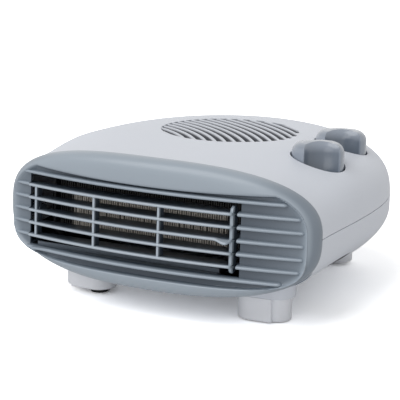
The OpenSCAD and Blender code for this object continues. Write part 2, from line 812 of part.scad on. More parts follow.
module knob(turn) {
    shoulder_z = knob_top - knob_shoulder;
    rotate([0, 0, turn]) difference() {
        union() {
            translate([0, 0, knob_low]) cylinder(r = knob_r, h = shoulder_z - knob_low);
            translate([0, 0, knob_low + 1])
                cylinder(r = knob_r - knob_shoulder, h = knob_top - knob_low - 1);
            translate([0, 0, shoulder_z]) rotate_extrude()
                translate([knob_r - knob_shoulder, 0]) circle(r = knob_shoulder);
        }
        for (side = [-1, 1]) translate([0, side * (grip_half + hollow_r), hollow_low])
            cylinder(r = hollow_r, h = knob_top);
        difference() {
            union() {
                translate([0, 0, knob_low - 1])
                    cylinder(r = knob_core_r, h = hollow_low - knob_wall - knob_low + 1);
                intersection() {
                    translate([0, 0, knob_low - 1])
                        cylinder(r = knob_r - core_roof, h = knob_top - core_roof - knob_low + 1);
                    translate([-knob_r, -core_half, knob_low - 1])
                        cube([2 * knob_r, 2 * core_half, knob_top]);
                }
            }
            translate([0, 0, knob_low - 2]) cylinder(r = knob_boss_r, h = knob_top);
        }
        translate([0, 0, knob_low - 2])
            cylinder(r = spindle_r + seat_gap, h = spindle_top - knob_low + 2 + run_gap);
    }
}

module spindle(place) {
    translate([place[0], place[1], spindle_low])
        cylinder(r = spindle_r, h = spindle_top - spindle_low);
}

module mode_knob() color(trim_blue) in_case()
    translate([mode_x, mode_y, 0]) knob(mode_turn);

module thermostat_knob() color(trim_blue) in_case()
    translate([thermo_x, thermo_y, 0]) knob(thermo_turn);

module mode_spindle() color(steel) in_case() spindle([mode_x, mode_y]);

module thermostat_spindle() color(steel) in_case() spindle([thermo_x, thermo_y]);

switch_side = 28;
neck_r = 5;
terminal_w = 4;
terminal_t = 0.8;
terminal_len = 9;

module switch_case(place, side, tags) {
    translate([place[0], place[1], 0]) {
        difference() {
            union() {
                translate([-side / 2, -side / 2, switch_low])
                    cube([side, side, bracket_z - switch_low]);
                translate([0, 0, bracket_z - 1]) cylinder(r = neck_r, h = bracket_t + 2);
            }
            translate([0, 0, spindle_low - run_gap])
                cylinder(r = spindle_r + run_gap, h = bracket_z);
        }
        for (i = [0:tags - 1]) translate([-side / 2 + 4 + i * (side - 8 - terminal_w) / (tags - 1),
            -terminal_t / 2, switch_low - terminal_len])
            cube([terminal_w, terminal_t, terminal_len + 1]);
    }
}

module mode_switch() color(dark_plastic) in_case()
    switch_case([mode_x, mode_y], switch_side, 4);

module thermostat_body() color(white_plastic) in_case()
    switch_case([thermo_x, thermo_y], switch_side - 2, 3);

bracket_edge = 16;

module control_bracket() color(steel) in_case() difference() {
    left = min(mode_x, thermo_x) - bracket_edge;
    right = mode_x + bracket_edge;
    translate([left, mode_y - bracket_edge, bracket_z])
        cube([right - left, thermo_y - mode_y + 2 * bracket_edge, bracket_t]);
    for (p = knob_places) translate([p[0], p[1], bracket_z - 1])
        cylinder(r = neck_r + 2 * run_gap, h = bracket_t + 2);
    for (x = bracket_x) translate([x, bracket_post_y, bracket_z - 1])
        cylinder(r = inner_screw_r + 2 * screw_gap, h = bracket_t + 2);
}

module bracket_screws() color(steel) in_case()
    for (x = bracket_x) screw(x, bracket_post_y, bracket_z + bracket_t, inner_head_r,
        inner_screw_r, bracket_t + post_pilot - 1, false);

// Heating element: corrugated ribbons between mica cards, held by two ends
element_z0 = -element_h / 2;
card_edge = 1.5;
card_margin = 1.6;
card_step = (element_h - 2 * card_edge - card_t) / ribbon_rows;
ribbon_gap = 0.3;
ribbon_margin = 3;

function card_z(i) = element_z0 + card_edge + i * card_step;

module element_end(x) {
    translate([x, element_y, element_z0]) cube([end_t, element_d, element_h]);
}

module element_end_left() color(steel) in_case() element_end(-element_left);

module element_end_right() color(steel) in_case() element_end(element_right - end_t);

module mica_card(i) color(mica) in_case()
    translate([end_t - element_left, element_y + card_margin, card_z(i)])
    cube([element_left + element_right - 2 * end_t, element_d - 2 * card_margin, card_t]);

module heating_ribbon(i) color(wire_brown) in_case() {
    x0 = end_t + ribbon_margin - element_left;
    x1 = element_right - end_t - ribbon_margin;
    folds = floor((x1 - x0) / ribbon_pitch);
    y0 = element_y + card_margin + 1;
    y1 = element_y + element_d - card_margin - 1;
    lean = ribbon_t * sqrt(1 + pow(2 * (y1 - y0) / ribbon_pitch, 2));
    line = [for (k = [0:2 * folds]) [x0 + k * ribbon_pitch / 2, k % 2 == 0 ? y0 : y1 - lean]];
    back = [for (k = [2 * folds:-1:0]) [line[k][0], line[k][1] + lean]];
    translate([0, 0, card_z(i) + card_t + ribbon_gap])
        linear_extrude(card_step - card_t - 2 * ribbon_gap) polygon(concat(line, back));
}

cutout_r = 7;
cutout_t = 5;
fuse_r = 2;
fuse_len = 14;

module thermal_cutout() color(white_plastic) in_case()
    translate([element_right, element_y + element_d / 2, 0]) rotate([0, 90, 0]) {
        cylinder(r = cutout_r, h = cutout_t);
        translate([0, 0, cutout_t - 1]) cylinder(r = cutout_r / 2, h = 3);
    }

module thermal_fuse() color(steel) in_case()
    translate([-element_left - fuse_r, element_y + element_d / 2, -fuse_len / 2])
    cylinder(r = fuse_r, h = fuse_len);

// Fan scroll, seen from above: the radius grows from the tongue round to the left
scroll_step = 12;
cover_z = slat_low - cover_gap - 2.5;
lip_h = 2.5;

function scroll_r(a) = wheel_r + tongue_gap
    + scroll_growth * (a - tongue_angle) / (open_angle - tongue_angle);
function scroll_line(extra, front) = concat(
    [for (i = [0:floor((open_angle - tongue_angle) / scroll_step)])
        let (a = tongue_angle + i * scroll_step)
        [(scroll_r(a) + extra) * cos(a), inlet_y + (scroll_r(a) + extra) * sin(a)]],
    [[-scroll_r(open_angle) - extra, inlet_y - 8], [-duct_left - extra, front],
        [duct_right + extra, front]]);

motor_posts = [[-22, inlet_y + 14], [22, inlet_y + 14]];
stator_drop = 6;
motor_screw_in = 4.5;
stator_top = -scroll_low - stator_drop;
scroll_floor_t = 2;

module scroll_housing() color(dark_plastic) in_case() difference() {
    union() {
        difference() {
            translate([0, 0, -scroll_low]) linear_extrude(cover_z + scroll_low)
                polygon(scroll_line(scroll_wall, scroll_front));
            translate([0, 0, scroll_floor_t - scroll_low]) linear_extrude(big)
                polygon(scroll_line(0, scroll_front - 5));
            translate([-duct_left, scroll_front - 6, scroll_floor_t - scroll_low])
                cube([duct_left + duct_right, 12, big]);
        }
        for (p = motor_posts) translate([p[0], p[1], stator_top])
            cylinder(r = post_r, h = -scroll_low - stator_top + 1);
    }
    for (p = motor_posts) translate([p[0], p[1], stator_top - 1])
        cylinder(r = inner_screw_r + screw_gap, h = 6);
    for (p = scroll_posts) translate([p[0], p[1], -scroll_low - 1])
        cylinder(r = inner_screw_r + 2 * screw_gap, h = 5);
    translate([0, inlet_y, -scroll_low - 1]) cylinder(r = 3 * shaft_r + 2, h = 5);
}

module scroll_cover() color(dark_plastic) in_case() difference() {
    union() {
        translate([0, 0, cover_z]) linear_extrude(2)
            polygon(scroll_line(scroll_wall, scroll_front));
        translate([0, inlet_y, cover_z]) cylinder(r = wheel_r + 1, h = lip_h + 1);
    }
    translate([0, inlet_y, cover_z - 1]) cylinder(r = wheel_r - 1, h = 8);
}

module scroll_screws() color(steel) in_case()
    for (p = scroll_posts) screw(p[0], p[1], scroll_floor_t - scroll_low, inner_head_r,
        inner_screw_r, scroll_floor_t + post_pilot - 1, false);

// Duct from the scroll to the element, with a flange for the element ends
duct_flange = 4;
duct_flange_t = 2;
duct_y = element_y + element_d;
duct_edge = 1;
duct_seat = 0.02;

module duct_box(y, left, right, low, high, extra, depth) {
    translate([-left - extra, y, low - extra])
        cube([left + right + 2 * extra, depth, high - low + 2 * extra]);
}

module duct_funnel(extra, near, far) {
    intersection() {
        translate([0, 0, -big / 2]) linear_extrude(big) polygon([
            [duct_edge - element_left - extra, near], [element_right - duct_edge + extra, near],
            [duct_right + extra, far], [-duct_left - extra, far]]);
        translate([-big / 2, 0, 0]) rotate([90, 0, 90]) linear_extrude(big) polygon([
            [near, element_z0 + duct_edge - extra], [far, scroll_floor_t - scroll_low - extra],
            [far, cover_z + extra], [near, element_z0 + element_h - duct_edge + extra]]);
    }
}

module air_duct() color(steel) in_case() difference() {
    union() {
        duct_funnel(scroll_wall, duct_y + duct_flange_t / 2, scroll_front - duct_seat);
        duct_box(duct_y, element_left, element_right, element_z0, element_z0 + element_h,
            duct_flange, duct_flange_t);
    }
    duct_funnel(0, duct_y - 1, scroll_front + 1);
}

// Fan wheel: backplate, blades and a top ring round the motor shaft
wheel_z = 0;
backplate_t = 1.5;
blade_len = 9;
fan_blade_t = 1;
ring_w = 2.5;
hub_r = 7;
shaft_top = 9;
shaft_len = 48;

module impeller() color(dark_plastic) in_case() translate([0, inlet_y, wheel_z]) difference() {
    union() {
        cylinder(r = wheel_r, h = backplate_t);
        cylinder(r = hub_r, h = shaft_top + 3);
        for (i = [0:wheel_blades - 1]) rotate([0, 0, 360 * i / wheel_blades])
            translate([wheel_r - blade_len - 0.5, -fan_blade_t / 2, backplate_t / 2])
            rotate([0, 0, 12]) cube([blade_len, fan_blade_t, wheel_h - backplate_t]);
        translate([0, 0, wheel_h - 2]) difference() {
            cylinder(r = wheel_r, h = 2);
            translate([0, 0, -1]) cylinder(r = wheel_r - ring_w, h = 4);
        }
    }
    translate([0, 0, -1]) cylinder(r = shaft_r + seat_gap, h = shaft_top + 1 + run_gap);
}

module motor_shaft() color(steel) in_case()
    translate([0, inlet_y, shaft_top - shaft_len]) cylinder(r = shaft_r, h = shaft_len);

stator_low = stator_top - stator_h;
leg_w = 12;
leg_y = inlet_y - 44;
window_h = 12;
stator_half = 28;
stator_behind = 20;
coil_space = 3;
coil_half = 14;
coil_t = 5;
bobbin_t = 1;

module motor_rotor() color(steel) in_case() translate([0, inlet_y, stator_low]) difference() {
    cylinder(r = rotor_r, h = stator_h);
    translate([0, 0, -1]) cylinder(r = shaft_r + seat_gap, h = stator_h + 2);
}

module stator_core() color(steel) in_case() difference() {
    translate([-stator_half, leg_y, stator_low])
        cube([2 * stator_half, inlet_y + stator_behind - leg_y, stator_h]);
    translate([0, inlet_y, stator_low - 1]) cylinder(r = rotor_r + air_gap, h = stator_h + 2);
    translate([-coil_half - coil_space, leg_y + leg_w, stator_low - 1])
        cube([2 * (coil_half + coil_space), window_h, stator_h + 2]);
    for (p = motor_posts) translate([p[0], p[1], stator_low - 1])
        cylinder(r = inner_screw_r + screw_gap, h = stator_h + 2);
}

module round_leg(half, near, far) {
    difference() {
        translate([-half, leg_y - far, stator_low - far])
            cube([2 * half, leg_w + 2 * far, stator_h + 2 * far]);
        translate([-half - 1, leg_y - near, stator_low - near])
            cube([2 * half + 2, leg_w + 2 * near, stator_h + 2 * near]);
    }
}

module coil_bobbin() color(white_plastic) in_case() union() {
    round_leg(coil_half, seat_gap, bobbin_t);
    for (side = [-1, 1]) translate([side * (coil_half - bobbin_t / 2), 0, 0])
        round_leg(bobbin_t / 2, seat_gap, coil_t + bobbin_t / 2);
}

module coil_winding() color(copper) in_case()
    round_leg(coil_half - bobbin_t, bobbin_t, coil_t);

bush_out_r = 4;
bearing_t = 2;
arm_half = 24;
arm_w = 16;
arm_gap = 1.8;
bush_len = 5;

module bearing_bracket(up) {
    mirror([0, 0, up ? 0 : 1]) difference() {
        union() {
            translate([-arm_half, -arm_w / 2, arm_gap]) cube([2 * arm_half, arm_w, bearing_t]);
            for (side = [-1, 1]) translate([side * (arm_half - 2) - 2, -arm_w / 2, 0])
                cube([4, arm_w, arm_gap + bearing_t]);
        }
        cylinder(r = bush_out_r + seat_gap, h = 10);
    }
}

module bush(up) {
    mirror([0, 0, up ? 0 : 1]) translate([0, 0, air_gap]) difference() {
        cylinder(r = bush_out_r, h = bush_len);
        translate([0, 0, -1]) cylinder(r = shaft_r + run_gap, h = bush_len + 2);
    }
}

module upper_bearing_bracket() color(steel) in_case()
    translate([0, inlet_y, stator_top]) bearing_bracket(true);

module lower_bearing_bracket() color(steel) in_case()
    translate([0, inlet_y, stator_low]) bearing_bracket(false);

module upper_bush() color(copper) in_case() translate([0, inlet_y, stator_top]) bush(true);

module lower_bush() color(copper) in_case() translate([0, inlet_y, stator_low]) bush(false);

module motor_screws() color(steel) in_case()
    for (p = motor_posts) screw(p[0], p[1], stator_low, inner_head_r, inner_screw_r,
        stator_h + motor_screw_in, true);

// Terminal block on its post, and the bush that the cord would come in by
module terminal_block() color(white_plastic) in_case()
    translate([block_x - block_len / 2, block_y - block_w / 2, block_z]) difference() {
        cube([block_len, block_w, block_h]);
        for (i = [0:block_ways - 1]) translate([block_pitch * (i + 1 / 2), 0, way_z]) {
            translate([0, block_w / 2, 0]) cylinder(r = clamp_r, h = block_h);
            translate([0, -1, 0]) rotate([-90, 0, 0]) cylinder(r = way_r, h = block_w + 2);
        }
    }

module cord_bush() color(dark_plastic) in_case()
    translate([bush_x, bush_boss_in - bush_flange_t, bush_z]) rotate([-90, 0, 0])
    difference() {
        length = bush_boss_out - bush_boss_in + 2 * bush_flange_t;
        union() {
            cylinder(r = bush_r - seat_gap, h = length);
            cylinder(r = bush_flange_r - 1, h = bush_flange_t);
            translate([0, 0, length - bush_flange_t])
                cylinder(r = bush_flange_r, h = bush_flange_t);
        }
        translate([0, 0, -1]) cylinder(r = bush_bore_r, h = length + 2);
    }

// Feet in their sockets, with rubber pads under them
function pad_along(k) = -foot_names[k][0] * (foot_names[k][3] - foot_w) / 2;

// The inner part of a front foot stands out, flush with its collar
module shin(k) {
    low = foot_names[k][5];
    side = foot_names[k][0];
    reach = foot_names[k][3] / 2 + collar_wall;
    at_foot(k, low) intersection() {
        stadium(2 * reach, foot_w + 2 * collar_wall, collar_low - low);
        translate([side > 0 ? -2 * reach : shin_along, -big / 2, -1])
            cube([2 * reach - shin_along, big, collar_low + 1]);
    }
}

module foot(k) difference() {
    union() {
        at_foot(k, foot_names[k][5])
            stadium(foot_names[k][3], foot_w, foot_names[k][7] - foot_names[k][5]);
        if (k < 2) shin(k);
    }
    at_foot(k, -1) translate([pad_along(k), 0, 0])
        cylinder(r = pad_r + screw_gap, h = pad_h + 1);
}

module pad(k) {
    at_foot(k, 0) translate([pad_along(k), 0, 0]) cylinder(r = pad_r, h = pad_h);
}

module front_left_foot() color(shell_grey) foot(0);
module front_right_foot() color(shell_grey) foot(1);
module rear_left_foot() color(shell_grey) foot(2);
module rear_right_foot() color(shell_grey) foot(3);
module front_left_pad() color(rubber_black) pad(0);
module front_right_pad() color(rubber_black) pad(1);
module rear_left_pad() color(rubber_black) pad(2);
module rear_right_pad() color(rubber_black) pad(3);

top_shell();
bottom_shell();
front_bezel();
louvre_insert();
mode_knob();
thermostat_knob();
mode_spindle();
thermostat_spindle();
mode_switch();
thermostat_body();
control_bracket();
bracket_screws();
element_end_left();
element_end_right();
mica_card(0);  // mica_card_1
mica_card(1);  // mica_card_2
mica_card(2);  // mica_card_3
mica_card(3);  // mica_card_4
mica_card(4);  // mica_card_5
heating_ribbon(0);  // heating_ribbon_1
heating_ribbon(1);  // heating_ribbon_2
heating_ribbon(2);  // heating_ribbon_3
heating_ribbon(3);  // heating_ribbon_4
thermal_cutout();
thermal_fuse();
air_duct();
scroll_housing();
scroll_cover();
scroll_screws();
impeller();
motor_shaft();
motor_rotor();
stator_core();
coil_bobbin();
coil_winding();
upper_bearing_bracket();
lower_bearing_bracket();
upper_bush();
lower_bush();
motor_screws();
terminal_block();
cord_bush();
front_left_foot();
front_right_foot();
rear_left_foot();
rear_right_foot();
front_left_pad();
front_right_pad();
rear_left_pad();
rear_right_pad();
case_screws();
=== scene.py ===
# %% [markdown]
# # A low, wide fan heater
#
# The imported model brings the exact solids of a small fan heater: a leaning oval case, a ribbed front
# with a louvre, two knobs and four feet. This lesson dresses it. Every visible piece is built again
# with the soft edges, fillets and fine folds of the moulded original, and gets a finish made of nodes.
# The first cell loads the solids as a fixed frame.

# %% Load the imported heater
import json
import math
from collections import namedtuple

import bmesh
import bpy
import numpy as np
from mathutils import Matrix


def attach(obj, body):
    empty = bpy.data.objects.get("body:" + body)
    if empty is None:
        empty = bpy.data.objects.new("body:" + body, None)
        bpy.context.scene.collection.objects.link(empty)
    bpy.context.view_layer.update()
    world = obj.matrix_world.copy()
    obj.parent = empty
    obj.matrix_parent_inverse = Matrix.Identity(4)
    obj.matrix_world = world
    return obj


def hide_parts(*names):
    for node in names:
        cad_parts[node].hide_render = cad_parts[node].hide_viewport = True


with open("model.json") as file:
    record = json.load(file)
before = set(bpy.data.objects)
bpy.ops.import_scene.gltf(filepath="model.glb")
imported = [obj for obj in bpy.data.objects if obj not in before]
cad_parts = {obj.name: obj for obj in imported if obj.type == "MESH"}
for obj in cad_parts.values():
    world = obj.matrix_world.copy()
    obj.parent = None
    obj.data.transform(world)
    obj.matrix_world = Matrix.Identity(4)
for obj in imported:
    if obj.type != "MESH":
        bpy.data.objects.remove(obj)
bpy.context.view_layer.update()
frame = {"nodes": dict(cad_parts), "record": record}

# %% [markdown]
# ## One place for the sizes
#
# The case leans back, so its shapes are easiest to write upright: x to the right, y back from the
# grille face and z up from the seam, in millimetres. One function then leans them and turns them into
# metres. The sizes are those of the solids, so the dressed pieces fall exactly over them.

# %% Sizes of the case, and the lean
LEAN = math.radians(3.75)
SIN, COS = math.sin(LEAN), math.cos(LEAN)
SEAM_Z = 72.0
CASE_W, CASE_D, TOP_H, BOTTOM_H = 256.0, 230.0, 50.4, 52.0
STRAIGHT_D, WALL = 98.0, 2.5
OVAL, PLAN_POWER = 2.72, 2.69
TOP_POWER, TOP_PROFILE, TOP_DROP = 3.54, 10.5, 3.0
BEZEL_W, BEZEL_TOP_H, BEZEL_LOW_H, BEZEL_DEPTH = 251.2, 46.8, 49.5, 12.0
RECESS_W, RECESS_LOW, RECESS_HIGH, FOREHEAD_Z, RECESS_DEPTH = 119.2, 39.0, 40.0, 27.0, 6.0
RECESS_HIGH_POWER, RECESS_LOW_POWER = 2.8, 4.5
RIB_PITCH, TOP_RIB_Z, RIB_R, RIB_COUNT = 9.4, 24.2, 1.15, 7
LOW_RIB_Z = TOP_RIB_Z - (RIB_COUNT - 1) * RIB_PITCH
WINDOW_LEFT, WINDOW_RIGHT = RECESS_W - 15.0, RECESS_W - 47.5
WINDOW_LOW, WINDOW_TOP = LOW_RIB_Z + RIB_R, TOP_RIB_Z - RIB_R
CASE_Y = -(CASE_D * COS + (0.62 * TOP_H - 0.7 * BEZEL_LOW_H) * SIN) / 2
BOW_R, FLOOR_BOW_R = 470.0, 560.0
ELEMENT_Y, ELEMENT_D, ELEMENT_H = 32.0, 16.0, 41.0


def leaned(x, y, z):
    """Case millimetres to a list of points in metres, in the frame of the solids."""
    x, y, z = np.broadcast_arrays(np.asarray(x, float), y, z)
    moved = np.stack([x, CASE_Y + y * COS + z * SIN, SEAM_Z + z * COS - y * SIN], -1)
    return moved / 1000


def bow(x, radius=BOW_R):
    """How far the bowed front lies behind its middle."""
    return radius - np.sqrt(radius**2 - np.asarray(x, float) ** 2)


def dome(share, power):
    """Height of a rounded section, from 1 in the middle to 0 at the edge."""
    return np.maximum(0, 1 - np.minimum(1, np.abs(share)) ** power) ** (1 / power)


def soften(share):
    """The same share from 0 to 1, with a soft start and end."""
    return share * share * (3 - 2 * share)


print("front of the case at", round(CASE_Y, 2), "mm")
print("ends of the bezel bowed back by", round(float(bow(BEZEL_W / 2)), 2), "mm")

# %% [markdown]
# ## Lofted solids
#
# A moulded piece is a closed skin. Most of them here can be lofted: a row of rings with the same
# number of points, joined by quads. The ends are closed by quads too, which join each ring point to
# its partner on the other side. Holes and unions are left to the boolean modifier, with its manifold
# solver, because it is exact and quick on closed meshes. Edges sharper than a given angle keep a
# crisp shade. Some faces of a piece can get a finish of their own, picked by their place in the case.

# %% Helpers for closed meshes
def add_object(name, data):
    made = bpy.data.objects.new(name, data)
    bpy.context.scene.collection.objects.link(made)
    return made


def add_mesh(name, points, faces):
    mesh = bpy.data.meshes.new(name)
    mesh.from_pydata([tuple(p) for p in points], [], faces)
    form = bmesh.new()
    form.from_mesh(mesh)
    bmesh.ops.recalc_face_normals(form, faces=form.faces)
    form.to_mesh(mesh)
    form.free()
    return add_object(name, mesh)


def loft(name, rings, closed=False):
    """A closed skin through rings, given as an array of rings, points, coordinates."""
    rings = np.asarray(rings)
    count, size = rings.shape[:2]
    faces = []
    for k in range(count if closed else count - 1):
        a, b = k * size, (k + 1) % count * size
        faces += [(a + i, a + (i + 1) % size, b + (i + 1) % size, b + i) for i in range(size)]
    if not closed:
        for start in (0, (count - 1) * size):
            faces += [(start + i, start + i + 1, start + size - 2 - i, start + size - 1 - i)
                      for i in range(size // 2 - 1)]
    return add_mesh(name, rings.reshape(-1, 3), faces)


def shape(target, operation, *tools):
    """Applies tools to a target: UNION, DIFFERENCE or INTERSECT. The tools are used up."""
    for tool in tools:
        step = target.modifiers.new(operation, "BOOLEAN")
        step.operation, step.solver, step.object = operation, "MANIFOLD", tool
    graph = bpy.context.evaluated_depsgraph_get()
    made = bpy.data.meshes.new_from_object(target.evaluated_get(graph))
    target.modifiers.clear()
    target.data = made
    for tool in tools:
        bpy.data.objects.remove(tool)
    return target


def finish_piece(piece, body, nodes, material, sharp=32):
    """Shades a piece, sets its finish, ties it to a body and hides the solids that it stands for."""
    mesh = piece.data
    mesh.shade_smooth()
    mesh.set_sharp_from_angle(angle=math.radians(sharp))
    mesh.materials.clear()
    mesh.materials.append(material)
    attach(piece, body)
    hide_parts(*nodes)
    print(piece.name, "faces:", len(mesh.polygons))


def finish_faces(piece, material, wanted):
    """Gives the faces whose middle is wanted, in case millimetres, a finish of their own."""
    mesh = piece.data
    mesh.materials.append(material)
    middles = np.zeros(len(mesh.polygons) * 3)
    mesh.polygons.foreach_get("center", middles)
    x, y, z = middles.reshape(-1, 3).T * 1000
    y, z = y - CASE_Y, z - SEAM_Z
    chosen = wanted(x, y * COS - z * SIN, z * COS + y * SIN)
    slots = np.zeros(len(mesh.polygons), np.int32)
    mesh.polygons.foreach_get("material_index", slots)
    slots[chosen] = len(mesh.materials) - 1
    mesh.polygons.foreach_set("material_index", slots)
    print(piece.name, "faces in", material.name + ":", int(chosen.sum()))


ACROSS, BACKWARD, UPWARD = 0, 1, 2


def bar(name, axis, spot, radius, low, high, sides):
    """A round bar along an axis of the case frame, at a spot of the other two."""
    turn = 2 * np.pi * np.arange(sides) / sides
    rings = []
    for end in (low, high):
        place = [spot[0] + radius * np.cos(turn), spot[1] + radius * np.sin(turn)]
        place.insert(axis, end)
        rings.append(leaned(*place))
    return loft(name, rings)


def block(name, x0, x1, y0, y1, z0, z1):
    """A box along the axes of the case frame."""
    ring = np.array([(x0, z0), (x1, z0), (x1, z1), (x0, z1)])
    return loft(name, [leaned(ring[:, 0], y, ring[:, 1]) for y in (y0, y1)])


# %% [markdown]
# ## Finishes from nodes
#
# Shader sums read best as sums. The class below wraps a socket, so that `1 - mask` or
# `0.4 * mask + 0.1` add the Math nodes. Colours go through Mix nodes. Any other node comes from one
# method, which takes its type, its settings and what goes into its sockets.

# %% A socket that can be used in sums
class Signal:
    def __init__(self, paint, socket):
        self.paint, self.socket = paint, socket

    def __add__(self, other):
        return self.paint.math("ADD", self, other)

    def __sub__(self, other):
        return self.paint.math("SUBTRACT", self, other)

    def __rsub__(self, other):
        return self.paint.math("SUBTRACT", other, self)

    def __mul__(self, other):
        return self.paint.math("MULTIPLY", self, other)

    __radd__, __rmul__ = __add__, __mul__


class Paint:
    """Builds the node tree of one material or of the world."""

    def __init__(self, owner):
        owner.use_nodes = True
        self.tree = owner.node_tree
        self.tree.nodes.clear()

    def add(self, kind, inputs=None, settings=None, output=0):
        """A node with values or signals in its inputs, and with its settings."""
        node = self.tree.nodes.new(kind)
        for key, value in (settings or {}).items():
            setattr(node, key, value)
        for key, value in (inputs or {}).items():
            if isinstance(value, Signal):
                self.tree.links.new(value.socket, node.inputs[key])
            else:
                node.inputs[key].default_value = value
        return Signal(self, node.outputs[output]) if node.outputs else node

    def math(self, operation, *values):
        return self.add("ShaderNodeMath", dict(enumerate(values)), {"operation": operation})

    def mix(self, share, first, second):
        return self.add("ShaderNodeMix", {0: share, 6: first, 7: second}, {"data_type": "RGBA"}, 2)


def linear(red, green, blue):
    """A screen colour of 0 to 255 as the linear colour that a shader takes."""
    shares = [c / 255 for c in (red, green, blue)]
    return (*[c / 12.92 if c <= 0.04045 else ((c + 0.055) / 1.055) ** 2.4 for c in shares], 1)


def noise(paint, scale, detail):
    """A soft mottle in metres of the piece, from 0 to 1."""
    place = paint.add("ShaderNodeTexCoord", output="Object")
    return paint.add("ShaderNodeTexNoise", {"Vector": place, "Scale": scale, "Detail": detail})


# %% [markdown]
# The picture was lit hard, and its hollows fall almost black. So some finishes know how deep a point
# lies. They turn its place in the mesh back into case millimetres, and darken behind the bowed front,
# below the top of the case or behind the first folds of the strips.

# %% Measures of depth
FOLDS_LIT, STRIP_LIT_LEFT, STRIP_LIT_RIGHT, STRIP_LIT_TOP = ELEMENT_Y + 3.3, -77, 48, 8
RIM_SHADE_FROM, RIM_SHADE_FULL = 70, 116
FRONT_FALL = 0.00127


def smooth_step(paint, value, start, end):
    """0 before the start, 1 after the end, and a soft slope between them."""
    return paint.add("ShaderNodeMapRange", {"Value": value, "From Min": start, "From Max": end},
                     {"interpolation_type": "SMOOTHSTEP"})


def case_place(paint):
    """The x, y and z of the upright case in millimetres, from the place of a point in its mesh."""
    place = paint.add("ShaderNodeTexCoord", output="Object")
    split = [paint.add("ShaderNodeSeparateXYZ", {"Vector": place}, output=k) for k in range(3)]
    x, y, z = [part * 1000 for part in split]
    y, z = y - CASE_Y, z - SEAM_Z
    return x, y * COS - z * SIN, z * COS + y * SIN


def behind_bow(paint, start=1.3, end=6.0):
    """How far a point lies behind the bowed face, from 0 near the face to 1 deep in the recess."""
    x, y, _ = case_place(paint)
    return smooth_step(paint, y - x * x * (0.5 / BOW_R), start, end)


def behind_nose(paint):
    """The same for the thin blades, which fall into shade just behind their noses."""
    return behind_bow(paint, 0.9, 4.2)


def out_of_light(paint):
    """0 at the front folds of the strips, 1 where no light gets in: behind, above and at both ends."""
    x, y, z = case_place(paint)
    lit = 1 - smooth_step(paint, y, FOLDS_LIT, FOLDS_LIT + 2.2)
    lit = lit * (1 - smooth_step(paint, x, STRIP_LIT_RIGHT, STRIP_LIT_RIGHT + 2))
    lit = lit * smooth_step(paint, x, STRIP_LIT_LEFT - 4, STRIP_LIT_LEFT)
    return 1 - lit * (1 - smooth_step(paint, z, STRIP_LIT_TOP, STRIP_LIT_TOP + 2))


def round_the_side(paint):
    """Mask of painted shade: 1 on the rim where it turns back at both ends of the bezel, 0 on its face
    and in its middle.
    """
    away = paint.math("ABSOLUTE", case_place(paint)[0])
    return behind_bow(paint, 1.2, 4.5) * smooth_step(paint, away, RIM_SHADE_FROM, RIM_SHADE_FULL)


def below_top(paint):
    """How far a point lies below the top of the case, from 0 on top to 1 between the slats."""
    x, y, z = case_place(paint)
    curve = paint.math("POWER", paint.math("ABSOLUTE", x * (2 / CASE_W)), TOP_POWER)
    ahead = paint.math("MAXIMUM", STRAIGHT_D - y, 0.0)
    level = TOP_H - curve * (TOP_H / TOP_POWER) - ahead * ahead * FRONT_FALL
    return smooth_step(paint, level - z, -0.25, 1.9)


# %% A finish for moulded or rolled stock
CLOUD_SCALE, GRAIN_HEIGHT = 22, 0.0004


def moulded(name, pale, deep, roughness, grain, grain_scale, coat=0.0, spread=0.06, metallic=0.0,
            painted_shade=None):
    """Two close colours, an uneven gloss, a fine grain in relief, and painted shade in hollows."""
    material = bpy.data.materials.new(name)
    paint = Paint(material)
    clouds = noise(paint, CLOUD_SCALE, 2)
    fine = noise(paint, grain_scale, 4)
    mottle = clouds * 0.7 + fine * 0.3
    colour = paint.mix(mottle, linear(*deep), linear(*pale))
    # Painted shade: a mask of where shade falls darkens the colour towards a deeper tone.
    if painted_shade:
        depth, dark = painted_shade
        colour = paint.mix(depth(paint), colour, linear(*dark))
    relief = paint.add("ShaderNodeBump", {"Strength": grain, "Distance": GRAIN_HEIGHT, "Height": fine})
    gloss = roughness - spread / 2 + clouds * spread
    surface = paint.add("ShaderNodeBsdfPrincipled", {
        "Base Color": colour, "Roughness": gloss, "Normal": relief, "Metallic": metallic,
        "Coat Weight": coat, "Coat Roughness": 0.25})
    paint.add("ShaderNodeOutputMaterial", {"Surface": surface})
    return material


# %% [markdown]
# The case is a pale grey plastic with a fine grain and a satin gloss. The front and the knobs are
# blue-grey and glossier. The rest is what such heaters hold, such as zinc plated sheet, mica and
# heating strip. Each finish gives its pale and its deep colour, roughness, relief and scale of the
# grain, then coat, spread of the gloss, metal and, for some, a mask and colour of painted shade. The
# feet carry painted light: they are a paler copy of the case's grey. The sill is a darker copy of the
# bezel's blue, as painted shade.

# %% Make the finishes
GREYS = (213, 217, 225), (208, 212, 220)
BLUE_GRAIN = 2200


def grey(name, pale, deep, painted_shade=None):
    return moulded(name, pale, deep, 0.42, 0.12, 2600, painted_shade=painted_shade)


shell_grey = grey("shell grey", *GREYS)
# Painted shade: the slat grey darkens below the top of the case, between the slats.
slat_grey_painted_shade = grey("slat grey", *GREYS, painted_shade=(below_top, (104, 106, 112)))
# Painted light: the feet are the case's plastic, painted paler so they look lit from the front.
foot_grey_painted_light = grey("foot grey", (232, 234, 239), (227, 229, 234))
# Painted shade: the trim darkens on the rim where it turns back at both ends of the bezel.
trim_blue = moulded("trim blue", (153, 163, 173), (148, 158, 168), 0.33, 0.08, BLUE_GRAIN, coat=0.12,
                    painted_shade=(round_the_side, (122, 132, 143)))
